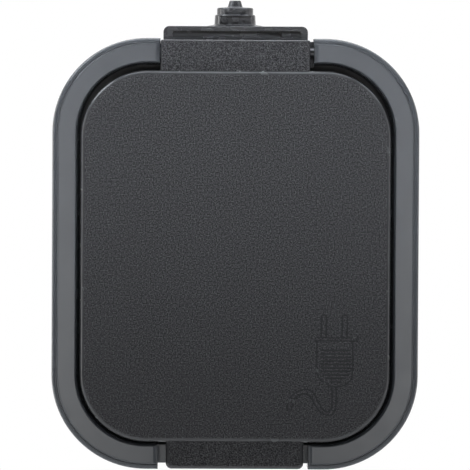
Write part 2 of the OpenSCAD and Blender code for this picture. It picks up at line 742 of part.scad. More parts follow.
// Flap: face with a skirt and seal channel, hinge block at the top and pull lip at the bottom
module flap() {
    plate_in = channel_in + channel_rib / 2;
    pull_low = flap_bottom - pull_h;
    d_pull = d_step - pull_back;
    color(flap_shade) difference() {
        union() {
            translate([0, 0, flap_z]) {
                swept_section(flap_w, flap_h, flap_r) polygon(flap_section());
                slab(d_face_back, d_face) rounded_rect(flap_w - 2 * plate_in, flap_h - 2 * plate_in, flap_r - plate_in);
            }
            translate([block_x, 0, 0]) rotate([90, 0, 90]) linear_extrude(block_w, center = true) polygon(concat(
                [[-d_plate - skirt_gap, flap_top - skirt_t / 2], [-d_step, flap_top - skirt_t / 2]],
                [[-d_step, block_top - block_edge], [-d_step + block_edge, block_top]],
                [[-d_plate - skirt_gap, block_top]]));
            translate([pull_x, 0, 0]) intersection() {
                slab(d_pull, d_step) {
                    area([-pull_w / 2, pull_low + pull_r], [pull_w / 2, flap_bottom + skirt_t / 2]);
                    area([-pull_w / 2 + pull_r, pull_low], [pull_w / 2 - pull_r, flap_bottom]);
                    for (x = [-1, 1]) translate([x * (pull_w / 2 - pull_r), pull_low + pull_r]) circle(pull_r);
                }
                rotate([90, 0, 90]) linear_extrude(pull_w + over, center = true) polygon(concat(
                    [[-d_pull, flap_bottom + skirt_t], [-d_pull, pull_low]],
                    [for (p = arc([d_step - pull_edge, pull_low + pull_edge], pull_edge, -90, 0)) [-p[0], p[1]]],
                    [[-d_step, flap_bottom + skirt_t]]));
            }
        }
        translate([block_x, 0, 0]) {
            slab(d_plate, d_axis) translate([0, axis_z]) square([coil_room_w, 2 * coil_room_r], center = true);
            translate([0, -d_axis, axis_z]) rotate([0, 90, 0])
                cylinder(h = coil_room_w, r = coil_room_r, center = true);
            translate([0, -d_axis, axis_z]) rotate([0, 90, 0])
                cylinder(h = block_w + over, r = hinge_pin_r + hinge_gap, center = true);
        }
        translate([pull_x, 0, 0]) slab(d_pull - over, d_step - pull_skin)
            area([-pull_w / 2 + pull_wall, pull_low + pull_wall], [pull_w / 2 - pull_wall, flap_bottom - pull_wall / 4]);
    }
}

// Seal in the flap's channel, with a blunt nose that meets the collar
module flap_gasket() {
    side_out = channel_out + hinge_gap;
    side_in = channel_in - hinge_gap;
    nose = (side_in - side_out) / 4;
    low = d_collar + soft_gap;
    color(rubber_shade) translate([0, 0, flap_z]) swept_section(flap_w, flap_h, flap_r) polygon([
        [-side_out, d_face_back], [-side_out, low + nose], [-side_out - nose, low],
        [-side_in + nose, low], [-side_in, low + nose], [-side_in, d_face_back]]);
}

// Hinge pin, held in the frame's two ends
module hinge_pin() {
    length = hinge_notch_w + 2 * pin_grip - slip;
    color(steel_shade) translate([hinge_notch_x, -d_axis, axis_z]) rotate([0, 90, 0])
        cylinder(h = length, r = hinge_pin_r, center = true);
}

// Hinge spring: a coil on the pin with two straight legs that point to the wall
module hinge_spring() {
    turn = 360 * spring_turns + 180;
    steps = floor(turn / 360 * spring_steps);
    leg_fixed = d_axis - d_plate - soft_gap;
    leg_moving = d_axis - d_plate - skirt_gap - slip;
    function angle(i) = turn * min(max(i - 1, 0), steps) / steps;
    function station(i) = let (t = angle(i), lead = i == 0 ? leg_fixed : i == steps + 2 ? leg_moving : 0)
        [block_x + coil_pitch * (t - turn / 2) / 360, -d_axis - coil_r * sin(t) + lead, axis_z - coil_r * cos(t)];
    ring_count = steps + 3;
    points = [for (i = [0:ring_count - 1], k = [0:wire_sides - 1])
        let (t = angle(i), a = 360 * k / wire_sides, r = wire_spring_d / 2)
        station(i) + r * [sin(a), -cos(a) * sin(t), -cos(a) * cos(t)]];
    sides = [for (i = [0:ring_count - 2], k = [0:wire_sides - 1])
        let (a = i * wire_sides + k, b = i * wire_sides + (k + 1) % wire_sides)
        each [[a, b, b + wire_sides], [a, b + wire_sides, a + wire_sides]]];
    caps = [[for (k = [wire_sides - 1:-1:0]) k], [for (k = [0:wire_sides - 1]) (ring_count - 1) * wire_sides + k]];
    color(steel_shade) polyhedron(points, concat(sides, caps), convexity = 10);
}

back_box();
entry_insert();
box_gasket();
inner_cover();
well_sleeve();
front_frame();
contact_carrier();
live_contact();
neutral_contact();
earth_bracket();
live_terminal();
neutral_terminal();
earth_terminal();
live_screw();
neutral_screw();
earth_screw();
carrier_screws();
cover_screws();
flap();
flap_gasket();
hinge_pin();
hinge_spring();
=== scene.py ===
"""Looks of the surface-mounted weatherproof socket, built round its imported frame.

Sizes in the classes are millimetres, with depths counted from the wall as in the part's source.
Meshes are shaped in millimetres and turned into metres when a piece is finished.
"""
from __future__ import annotations

import logging
import math
from collections.abc import Iterable, Sequence
from dataclasses import dataclass
from enum import Enum

import bmesh
import bpy
from mathutils import Matrix, Vector

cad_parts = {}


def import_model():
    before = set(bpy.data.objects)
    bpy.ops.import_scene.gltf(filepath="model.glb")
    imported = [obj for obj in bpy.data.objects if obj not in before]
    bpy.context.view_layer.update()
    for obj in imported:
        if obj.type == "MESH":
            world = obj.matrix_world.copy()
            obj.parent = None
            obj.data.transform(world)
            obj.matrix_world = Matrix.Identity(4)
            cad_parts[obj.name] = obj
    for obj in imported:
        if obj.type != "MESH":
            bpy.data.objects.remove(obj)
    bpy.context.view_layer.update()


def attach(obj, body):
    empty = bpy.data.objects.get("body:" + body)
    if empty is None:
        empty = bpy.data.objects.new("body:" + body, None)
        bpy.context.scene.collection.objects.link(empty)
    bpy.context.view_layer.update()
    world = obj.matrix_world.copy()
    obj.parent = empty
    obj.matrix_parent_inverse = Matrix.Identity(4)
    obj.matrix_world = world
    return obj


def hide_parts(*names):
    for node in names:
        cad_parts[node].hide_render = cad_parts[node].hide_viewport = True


LOG = logging.getLogger("socket")
MM = 0.001
FRONT = Vector((0.0, -1.0, 0.0))

Point = tuple[float, float, float]
Corner = tuple[float, float, float]
Colour = tuple[float, float, float]


class Slot(Enum):
    """Names of the record's material slots, one handed to each piece."""

    FRAME = "frame_grey"
    FLAP = "flap_anthracite"
    COVER = "cover_black"
    CARRIER = "carrier_black"
    ENTRY = "entry_rubber"
    SEAL = "seal_rubber"
    BRASS = "contact_brass"
    STEEL = "steel"


class Body(Enum):
    """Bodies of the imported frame."""

    HOUSING = "housing"
    FLAP = "flap"


class NodeSheet:
    """A material's node tree, with short ways to add and join nodes."""

    def __init__(self, name: str) -> None:
        """Starts a material with an empty Principled shader.

        Args:
            name: the material's name.
        """
        self.material = bpy.data.materials.new(name)
        self.material.use_nodes = True
        self.tree = self.material.node_tree
        self.shader = self.tree.nodes["Principled BSDF"]
        self.place = self.tree.nodes.new("ShaderNodeTexCoord").outputs["Object"]

    def join(self, out: bpy.types.NodeSocket, into: bpy.types.NodeSocket) -> None:
        """Links one socket to another."""
        self.tree.links.new(out, into)

    def noise(self, size: float, detail: float = 2.0, rough: float = 0.5) -> bpy.types.NodeSocket:
        """Adds a noise pattern.

        Args:
            size: size of its features in millimetres.
            detail: octaves of finer noise.
            rough: weight of the finer noise.

        Returns:
            The pattern's value socket.
        """
        node = self.tree.nodes.new("ShaderNodeTexNoise")
        node.inputs["Scale"].default_value = 1 / (size * MM)
        node.inputs["Detail"].default_value = detail
        node.inputs["Roughness"].default_value = rough
        self.join(self.place, node.inputs["Vector"])
        return node.outputs["Fac"]

    def cells(self, size: float, smooth: float = 0.6) -> bpy.types.NodeSocket:
        """Adds a pattern of rounded cells, as etched into a mould.

        Args:
            size: size of a cell in millimetres.
            smooth: how soft the cells' borders are.

        Returns:
            The pattern's distance socket.
        """
        node = self.tree.nodes.new("ShaderNodeTexVoronoi")
        node.feature = "SMOOTH_F1"
        node.inputs["Scale"].default_value = 1 / (size * MM)
        node.inputs["Smoothness"].default_value = smooth
        self.join(self.place, node.inputs["Vector"])
        return node.outputs["Distance"]

    def ramp(self, value: bpy.types.NodeSocket, low: Colour, high: Colour,
             start: float = 0.35, end: float = 0.65) -> bpy.types.NodeSocket:
        """Adds a ramp between two colours.

        Args:
            value: what drives the ramp.
            low: colour at its start.
            high: colour at its end.
            start: value of the start.
            end: value of the end.

        Returns:
            The ramp's colour socket.
        """
        node = self.tree.nodes.new("ShaderNodeValToRGB")
        for stop, place, tone in zip(node.color_ramp.elements, (start, end), (low, high)):
            stop.position = place
            stop.color = (*tone, 1.0)
        self.join(value, node.inputs["Fac"])
        return node.outputs["Color"]

    def spread(self, value: bpy.types.NodeSocket, low: float, high: float) -> bpy.types.NodeSocket:
        """Adds a map of a value to a range.

        Args:
            value: a value from 0.3 to 0.7, as noise gives.
            low: result at the low end.
            high: result at the high end.

        Returns:
            The mapped value's socket.
        """
        node = self.tree.nodes.new("ShaderNodeMapRange")
        for key, number in zip(("From Min", "From Max", "To Min", "To Max"), (0.3, 0.7, low, high)):
            node.inputs[key].default_value = number
        self.join(value, node.inputs["Value"])
        return node.outputs["Result"]

    def bump(self, height: bpy.types.NodeSocket, depth: float, strength: float,
             under: bpy.types.NodeSocket | None = None) -> bpy.types.NodeSocket:
        """Adds a bump.

        Args:
            height: pattern of the relief.
            depth: height of the relief in millimetres.
            strength: share of the relief that shows.
            under: normal of a coarser relief below it.

        Returns:
            The normal's socket.
        """
        node = self.tree.nodes.new("ShaderNodeBump")
        node.inputs["Distance"].default_value = depth * MM
        node.inputs["Strength"].default_value = strength
        self.join(height, node.inputs["Height"])
        if under is not None:
            self.join(under, node.inputs["Normal"])
        return node.outputs["Normal"]


@dataclass(frozen=True)
class Moulding:
    """A moulded plastic or rubber finish with an even tone and an etched or polished skin; it may carry pale and dark
    flecks in its colour, which are painted glints and painted shade of the grain.
    """

    name: str
    tone: Colour
    tone_spread: float = 0.06
    roughness: float = 0.45
    roughness_spread: float = 0.05
    level: float = 0.5
    grain: float = 0.35
    grain_depth: float = 0.02
    grain_strength: float = 0.4
    wave: float = 6.0
    wave_depth: float = 0.02
    # Strength of the painted glints and painted shade of the grain, mixed into the colour as flecks.
    painted_glint_speck: float = 0.0

    def make(self) -> bpy.types.Material:
        """Returns the finish as a material."""
        sheet = NodeSheet(self.name)
        drift = sheet.noise(self.wave, 3.0)
        low = tuple(c * (1 - self.tone_spread) for c in self.tone)
        high = tuple(min(1.0, c * (1 + self.tone_spread)) for c in self.tone)
        colour = sheet.ramp(drift, low, high)
        # Pale and dark flecks at the grain's size: painted glints and painted shade of the grain, mixed into the
        # colour.
        if self.painted_glint_speck:
            pale = tuple(min(1.0, c * (1 + self.painted_glint_speck)) for c in self.tone)
            dark = tuple(c * (1 - self.painted_glint_speck) for c in self.tone)
            mix = sheet.tree.nodes.new("ShaderNodeMix")
            mix.data_type = "RGBA"
            mix.inputs["Factor"].default_value = 0.9
            sheet.join(colour, mix.inputs["A"])
            sheet.join(sheet.ramp(sheet.noise(self.grain, 2.0, 0.7), dark, pale, 0.42, 0.66), mix.inputs["B"])
            colour = mix.outputs["Result"]
        sheet.join(colour, sheet.shader.inputs["Base Color"])
        sheet.join(sheet.spread(sheet.noise(self.wave / 2, 4.0), self.roughness - self.roughness_spread,
                                self.roughness + self.roughness_spread), sheet.shader.inputs["Roughness"])
        sheet.shader.inputs["Specular IOR Level"].default_value = self.level
        coarse = sheet.bump(drift, self.wave_depth, 0.5)
        fine = sheet.bump(sheet.cells(self.grain), self.grain_depth, self.grain_strength, coarse)
        sheet.join(fine, sheet.shader.inputs["Normal"])
        return sheet.material


@dataclass(frozen=True)
class Metal:
    """A sheet or turned metal finish with fine drawn lines."""

    name: str
    tone: Colour
    roughness: float = 0.3
    line: float = 0.12
    line_depth: float = 0.004
    stretch: Point = (1.0, 1.0, 0.06)

    def make(self) -> bpy.types.Material:
        """Returns the finish as a material."""
        sheet = NodeSheet(self.name)
        drift = sheet.noise(2.5, 3.0)
        low = tuple(c * 0.88 for c in self.tone)
        sheet.join(sheet.ramp(drift, low, self.tone), sheet.shader.inputs["Base Color"])
        sheet.shader.inputs["Metallic"].default_value = 1.0
        sheet.join(sheet.spread(sheet.noise(0.8, 4.0), self.roughness - 0.08, self.roughness + 0.1),
                   sheet.shader.inputs["Roughness"])
        mapping = sheet.tree.nodes.new("ShaderNodeMapping")
        mapping.inputs["Scale"].default_value = self.stretch
        sheet.join(sheet.place, mapping.inputs["Vector"])
        lines = sheet.tree.nodes.new("ShaderNodeTexNoise")
        lines.inputs["Scale"].default_value = 1 / (self.line * MM)
        lines.inputs["Detail"].default_value = 2.0
        sheet.join(mapping.outputs["Vector"], lines.inputs["Vector"])
        sheet.join(sheet.bump(lines.outputs["Fac"], self.line_depth, 0.5), sheet.shader.inputs["Normal"])
        return sheet.material


class Finishes:
    """Every finish of the socket, made once."""

    def __init__(self) -> None:
        """Makes the materials."""
        # The flap's grained face has painted glints and painted shade of its grain as flecks in its colour.
        self.flap_grain = Moulding("flap grained face", (0.055, 0.054, 0.0555), roughness=0.5, level=0.2, grain=0.25,
                                   grain_depth=0.14, grain_strength=1.0, painted_glint_speck=0.85).make()
        self.flap_smooth = Moulding("flap smooth edge", (0.042, 0.042, 0.043), roughness=0.24, grain=0.5,
                                    grain_depth=0.002, grain_strength=0.2).make()
        self.frame = Moulding("frame satin grey", (0.060, 0.0635, 0.0685), roughness=0.24, roughness_spread=0.03, grain=0.45,
                              grain_depth=0.003, grain_strength=0.2, tone_spread=0.03).make()
        self.cover = Moulding("cover black", (0.018, 0.018, 0.019), roughness=0.42, grain=0.3,
                              grain_depth=0.012, grain_strength=0.3).make()
        self.carrier = Moulding("carrier gloss black", (0.014, 0.014, 0.015), roughness=0.3, grain=0.5,
                                grain_depth=0.004, grain_strength=0.2).make()
        self.entry = Moulding("entry soft black", (0.031, 0.031, 0.0325), roughness=0.26, grain=0.25,
                              grain_depth=0.01, grain_strength=0.3).make()
        self.seal = Moulding("seal rubber", (0.020, 0.020, 0.020), roughness=0.62, grain=0.2,
                             grain_depth=0.01, grain_strength=0.35).make()
        self.brass = Metal("contact brass", (0.78, 0.58, 0.27), roughness=0.27).make()
        self.steel = Metal("zinc steel", (0.60, 0.61, 0.63), roughness=0.28).make()
        self.pin = Metal("dull pin steel", (0.12, 0.12, 0.125), roughness=0.4, stretch=(0.06, 1.0, 1.0)).make()


def reach_of(verts: Iterable[bmesh.types.BMVert]) -> list[bmesh.types.BMEdge]:
    """Returns the edges whose two ends are both among the given vertices."""
    inside = set(verts)
    return [e for e in {e for v in inside for e in v.link_edges} if e.verts[0] in inside and e.verts[1] in inside]


class Blank:
    """A piece being shaped: a bmesh in millimetres with X to the right, Y into the wall and Z up."""

    def __init__(self) -> None:
        """Starts with nothing."""
        self.bm = bmesh.new()

    def round_edges(self, edges: Iterable[bmesh.types.BMEdge], size: float, segments: int = 3) -> None:
        """Rounds edges.

        Args:
            edges: the edges.
            size: width of the rounding.
            segments: faces across it.
        """
        bmesh.ops.bevel(self.bm, geom=list(edges), offset=size, offset_type="OFFSET", segments=segments,
                        profile=0.5, affect="EDGES", material=-1, clamp_overlap=True)

    def round_sharp(self, size: float, angle: float = 50.0, segments: int = 2) -> None:
        """Rounds every edge whose faces meet at more than an angle.

        Args:
            size: width of the rounding.
            angle: the least angle in degrees.
            segments: faces across it.
        """
        least = math.radians(angle)
        self.round_edges([e for e in self.bm.edges if e.is_manifold and e.calc_face_angle(0) > least], size, segments)

    def block(self, low: Point, high: Point, edge: float = 0.0, segments: int = 2) -> list[bmesh.types.BMVert]:
        """Adds a block.

        Args:
            low: lowest x, depth and z.
            high: highest x, depth and z.
            edge: width of the rounding on its edges.
            segments: faces across the rounding.

        Returns:
            The block's vertices before its rounding.
        """
        size = [b - a for a, b in zip(low, high)]
        middle = Vector(((low[0] + high[0]) / 2, -(low[1] + high[1]) / 2, (low[2] + high[2]) / 2))
        matrix = Matrix.Translation(middle) @ Matrix.Diagonal((*size, 1.0))
        verts = bmesh.ops.create_cube(self.bm, size=1.0, matrix=matrix)["verts"]
        if edge:
            self.round_edges(reach_of(verts), edge, segments)
        return verts

    def bar(self, centre: Point, radius: float, length: float, along: str = "Y", sides: int = 48,
            edge: float = 0.0) -> None:
        """Adds a round bar.

        Args:
            centre: x, depth and z of its middle.
            radius: its radius.
            length: its length.
            along: the axis that it lies along.
            sides: its number of sides.
            edge: width of the bevel on its ends.
        """
        turn = {"X": Matrix.Rotation(math.pi / 2, 4, "Y"), "Y": Matrix.Rotation(math.pi / 2, 4, "X"),
                "Z": Matrix.Identity(4)}[along]
        matrix = Matrix.Translation((centre[0], -centre[1], centre[2])) @ turn
        verts = bmesh.ops.create_cone(self.bm, cap_ends=True, cap_tris=False, segments=sides, radius1=radius,
                                      radius2=radius, depth=length, matrix=matrix)["verts"]
        if edge:
            rims = [e for e in reach_of(verts) if any(len(f.verts) > 4 for f in e.link_faces)]
            self.round_edges(rims, edge, 2)

    def post(self, x: float, z: float, radius: float, start: float, end: float, edge: float = 0.0,
             sides: int = 48) -> None:
        """Adds a round bar along the depth.

        Args:
            x: place of its axis.
            z: height of its axis.
            radius: its radius.
            start: depth of its back.
            end: depth of its front.
            edge: width of the bevel on its ends.
            sides: its number of sides.
        """
        self.bar((x, (start + end) / 2, z), radius, end - start, "Y", sides, edge)

    def outline(self, corners: Sequence[Corner], segments: int = 5) -> bmesh.types.BMFace:
        """Adds a flat face in X and Z, at depth 0, with rounded corners.

        Args:
            corners: x, z and rounding of each corner, in order.
            segments: edges in each rounding.

        Returns:
            The face.
        """
        verts = [self.bm.verts.new((x, 0.0, z)) for x, z, _ in corners]
        face = self.bm.faces.new(verts)
        for vert, (_, _, size) in zip(verts, corners):
            if size:
                bmesh.ops.bevel(self.bm, geom=[vert], offset=size, offset_type="OFFSET", segments=segments,
                                profile=0.5, affect="VERTICES", material=-1)
        self.bm.faces.ensure_lookup_table()
        return next(f for f in self.bm.faces if not f.tag) if not face.is_valid else face

    def slab(self, corners: Sequence[Corner], start: float, end: float, edge: float = 0.0, segments: int = 6,
             edge_segments: int = 3) -> None:
        """Adds a plate with a rounded outline in X and Z.

        Args:
            corners: x, z and rounding of each corner, in order.
            start: depth of its back.
            end: depth of its front.
            edge: rounding of its front edge.
            segments: edges in each rounded corner.
            edge_segments: faces across the rounded front edge.
        """
        part = Blank()
        face = part.outline(corners, segments)
        bmesh.ops.translate(part.bm, verts=list(part.bm.verts), vec=(0.0, -start, 0.0))
        made = bmesh.ops.extrude_face_region(part.bm, geom=[face])["geom"]
        front = [g for g in made if isinstance(g, bmesh.types.BMVert)]
        bmesh.ops.translate(part.bm, verts=front, vec=(0.0, start - end, 0.0))
        bmesh.ops.recalc_face_normals(part.bm, faces=list(part.bm.faces))
        if edge:
            part.round_edges(reach_of(front), edge, edge_segments)
        self.add(part)

    def loop(self, section: Sequence[Corner], segments: int, open_side: bool) -> list[bmesh.types.BMEdge]:
        """Adds a section as a loop of edges in X and Z, with X outwards and Z as the depth.

        Args:
            section: distance outwards, depth and rounding of each corner, in order.
            segments: edges in each rounding.
            open_side: if the side from the last corner to the first is left out.

        Returns:
            The loop's edges.
        """
        face = self.outline(section, segments)
        edges = list(face.edges)
        first, last = section[0], section[-1]
        bmesh.ops.delete(self.bm, geom=[face], context="FACES_ONLY")
        if open_side:
            ends = [Vector((first[0], 0.0, first[1])), Vector((last[0], 0.0, last[1]))]
            gone = [e for e in edges if all(any((v.co - p).length < 1e-5 for p in ends) for v in e.verts)]
            edges = [e for e in edges if e not in gone]
            bmesh.ops.delete(self.bm, geom=gone, context="EDGES")
        return edges

    def go_straight(self, edges: list[bmesh.types.BMEdge], way: Vector) -> list[bmesh.types.BMEdge]:
        """Carries a loop of edges along a straight line.

        Args:
            edges: the loop.
            way: the way it goes.

        Returns:
            The loop at the end of the way.
        """
        made = bmesh.ops.extrude_edge_only(self.bm, edges=edges)["geom"]
        verts = [g for g in made if isinstance(g, bmesh.types.BMVert)]
        bmesh.ops.translate(self.bm, verts=verts, vec=way)
        return reach_of(verts)

    def go_round(self, edges: list[bmesh.types.BMEdge], centre: Vector, axis: Vector, angle: float,
                 steps: int) -> list[bmesh.types.BMEdge]:
        """Carries a loop of edges round a centre.

        Args:
            edges: the loop.
            centre: a point of the axis.
            axis: direction of the axis.
            angle: the turn in radians.
            steps: faces in the turn.

        Returns:
            The loop at the end of the turn.
        """
        verts = list({v for e in edges for v in e.verts})
        made = bmesh.ops.spin(self.bm, geom=verts + edges, cent=centre, axis=axis, dvec=(0.0, 0.0, 0.0),
                              angle=angle, steps=steps, use_merge=False, use_duplicate=False)["geom_last"]
        return [g for g in made if isinstance(g, bmesh.types.BMEdge)]

    def ring(self, section: Sequence[Corner], width: float, height: float, radius: float, middle: float = 0.0,
             segments: int = 5, steps: int = 24, filled: bool = False) -> None:
        """Adds a section swept once round a rounded rectangle.

        Args:
            section: distance outwards from the rectangle, depth and rounding of each corner.
            width: width of the rectangle.
            height: height of the rectangle.
            radius: radius of its corners.
            middle: height of its middle.
            segments: edges in each rounding of the section.
            steps: faces in each corner of the rectangle.
            filled: if the section's last side is left out and the middle is closed by two flat faces.
        """
        part = Blank()
        edges = part.loop(section, segments, filled)
        place = Matrix.Translation((-width / 2 + radius, 0.0, middle + height / 2)) @ Matrix(
            ((0, 0, 0, 0), (0, 0, -1, 0), (1, 0, 0, 0), (0, 0, 0, 1)))
        bmesh.ops.transform(part.bm, matrix=place, verts=list(part.bm.verts))
        heading, outward = Vector((1.0, 0.0, 0.0)), Vector((0.0, 0.0, 1.0))
        corner = Vector((width / 2 - radius, 0.0, height / 2 - radius))
        turn = Matrix.Rotation(math.pi / 2, 3, "Y")
        for side in range(4):
            straight = (width if side % 2 == 0 else height) - 2 * radius
            edges = part.go_straight(edges, heading * straight)
            signs = ((1, 1), (1, -1), (-1, -1), (-1, 1))[side]
            centre = Vector((corner.x * signs[0], 0.0, corner.z * signs[1] + middle))
            edges = part.go_round(edges, centre, Vector((0.0, 1.0, 0.0)), math.pi / 2, steps)
            heading, outward = turn @ heading, turn @ outward
        bmesh.ops.remove_doubles(part.bm, verts=list(part.bm.verts), dist=1e-4)
        if filled:
            bmesh.ops.holes_fill(part.bm, edges=[e for e in part.bm.edges if e.is_boundary], sides=0)
        bmesh.ops.recalc_face_normals(part.bm, faces=list(part.bm.faces))
        self.add(part)

    def turned(self, profile: Sequence[Corner], x: float = 0.0, z: float = 0.0, along: str = "Y",
               base: float = 0.0, segments: int = 4, steps: int = 64) -> None:
        """Adds a turned shape.

        Args:
            profile: radius, place along the axis and rounding of each corner, in order.
            x: place of the axis.
            z: height of the axis, or its depth if the shape stands upright.
            along: "Y" for an axis along the depth, "Z" for an upright one.
            base: added to each place along the axis.
            segments: edges in each rounding.
            steps: faces round the shape.
        """
        part = Blank()
        edges = part.loop(profile, segments, False)
        if along == "Y":
            place = Matrix.Translation((x, -base, z)) @ Matrix(
                ((1, 0, 0, 0), (0, 0, -1, 0), (0, 0, 0, 0), (0, 0, 0, 1)))
            centre, axis = Vector((x, 0.0, z)), Vector((0.0, 1.0, 0.0))
        else:
            place = Matrix.Translation((x, -z, base))
            centre, axis = Vector((x, -z, 0.0)), Vector((0.0, 0.0, 1.0))
        bmesh.ops.transform(part.bm, matrix=place, verts=list(part.bm.verts))
        verts = list({v for e in edges for v in e.verts})
        bmesh.ops.spin(part.bm, geom=verts + edges, cent=centre, axis=axis, dvec=(0.0, 0.0, 0.0),
                       angle=2 * math.pi, steps=steps, use_merge=True, use_duplicate=False)
        bmesh.ops.remove_doubles(part.bm, verts=list(part.bm.verts), dist=1e-4)
        bmesh.ops.dissolve_degenerate(part.bm, edges=list(part.bm.edges), dist=1e-5)
        bmesh.ops.recalc_face_normals(part.bm, faces=list(part.bm.faces))
        self.add(part)

    def add(self, other: Blank) -> None:
        """Adds another blank's shape and uses that blank up."""
        mesh = bpy.data.meshes.new("shape")
        other.bm.to_mesh(mesh)
        other.bm.free()
        self.bm.from_mesh(mesh)
        bpy.data.meshes.remove(mesh)

    def combine(self, other: Blank, way: str) -> None:
        """Joins another closed shape to this one, or cuts it away, and uses it up.

        Args:
            other: the other shape.
            way: "UNION", "DIFFERENCE" or "INTERSECT".
        """
        objects = []
        for blank in (self, other):
            mesh = bpy.data.meshes.new("shape")
            blank.bm.to_mesh(mesh)
            blank.bm.free()
            shape = bpy.data.objects.new("shape", mesh)
            bpy.context.scene.collection.objects.link(shape)
            objects.append(shape)
        modifier = objects[0].modifiers.new("combine", "BOOLEAN")
        modifier.operation = way
        modifier.solver = "EXACT"
        modifier.object = objects[1]
        evaluated = objects[0].evaluated_get(bpy.context.evaluated_depsgraph_get())
        self.bm = bmesh.new()
        self.bm.from_mesh(evaluated.to_mesh())
        evaluated.to_mesh_clear()
        for shape in objects:
            mesh = shape.data
            bpy.data.objects.remove(shape)
            bpy.data.meshes.remove(mesh)
        bmesh.ops.remove_doubles(self.bm, verts=list(self.bm.verts), dist=1e-5)
        bmesh.ops.dissolve_degenerate(self.bm, edges=list(self.bm.edges), dist=1e-6)

    def cut(self, other: Blank) -> None:
        """Cuts another closed shape away."""
        self.combine(other, "DIFFERENCE")

    def finish(self, name: str, body: Body, slot: Slot, finishes: Sequence[bpy.types.Material],
               nodes: Sequence[str], smooth: float = 32.0, edge: float = 0.0,
               grained: float | None = None) -> bpy.types.Object:
        """Turns the blank into a finished piece in metres.

        Args:
            name: the piece's name.
            body: the body that it rides on.
            slot: not used.
            finishes: its materials.
            nodes: the nodes that it stands for.
            smooth: angle in degrees under which faces are shaded as one.
            edge: width in millimetres of a last bevel on its sharp edges.
            grained: if given, faces to the front over this depth take the second material.

        Returns:
            The piece.
        """
        if grained is not None:
            for face in self.bm.faces:
                if face.normal.dot(FRONT) > 0.97 and -face.calc_center_median().y > grained:
                    face.material_index = 1
        bmesh.ops.scale(self.bm, vec=(MM, MM, MM), verts=list(self.bm.verts))
        mesh = bpy.data.meshes.new(name)
        self.bm.to_mesh(mesh)
        self.bm.free()
        piece = bpy.data.objects.new(name, mesh)
        bpy.context.scene.collection.objects.link(piece)
        for material in finishes:
            mesh.materials.append(material)
        mesh.shade_smooth()
        mesh.set_sharp_from_angle(angle=math.radians(smooth))
        if edge:
            bevel = piece.modifiers.new("edges", "BEVEL")
            bevel.width = edge * MM
            bevel.segments = 2
            bevel.limit_method = "ANGLE"
            bevel.angle_limit = math.radians(50)
            bevel.use_clamp_overlap = True
        normals = piece.modifiers.new("normals", "WEIGHTED_NORMAL")
        normals.keep_sharp = True
        normals.weight = 100
        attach(piece, body.value)
        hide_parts(*nodes)
        LOG.info("%s: %d faces, stands for %s", name, len(mesh.polygons), ", ".join(nodes))
        return piece


def rectangle(x0: float, x1: float, z0: float, z1: float, lower: float = 0.0, upper: float = 0.0) -> list[Corner]:
    """Returns the corners of a rectangle.

    Args:
        x0: left side.
        x1: right side.
        z0: lower side.
        z1: upper side.
        lower: rounding of the lower corners.
        upper: rounding of the upper corners.
    """
    return [(x0, z0, lower), (x1, z0, lower), (x1, z1, upper), (x0, z1, upper)]


def copy_of(node: str) -> Blank:
    """Returns a node's shape as a blank, with its loose triangles merged and its flat faces made whole."""
    blank = Blank()
    blank.bm.from_mesh(bpy.data.objects[node].data)
    bmesh.ops.scale(blank.bm, vec=(1 / MM, 1 / MM, 1 / MM), verts=list(blank.bm.verts))
    bmesh.ops.remove_doubles(blank.bm, verts=list(blank.bm.verts), dist=1e-3)
    bmesh.ops.dissolve_limit(blank.bm, angle_limit=math.radians(1.0), use_dissolve_boundaries=False,
                             verts=list(blank.bm.verts), edges=list(blank.bm.edges))
    return blank


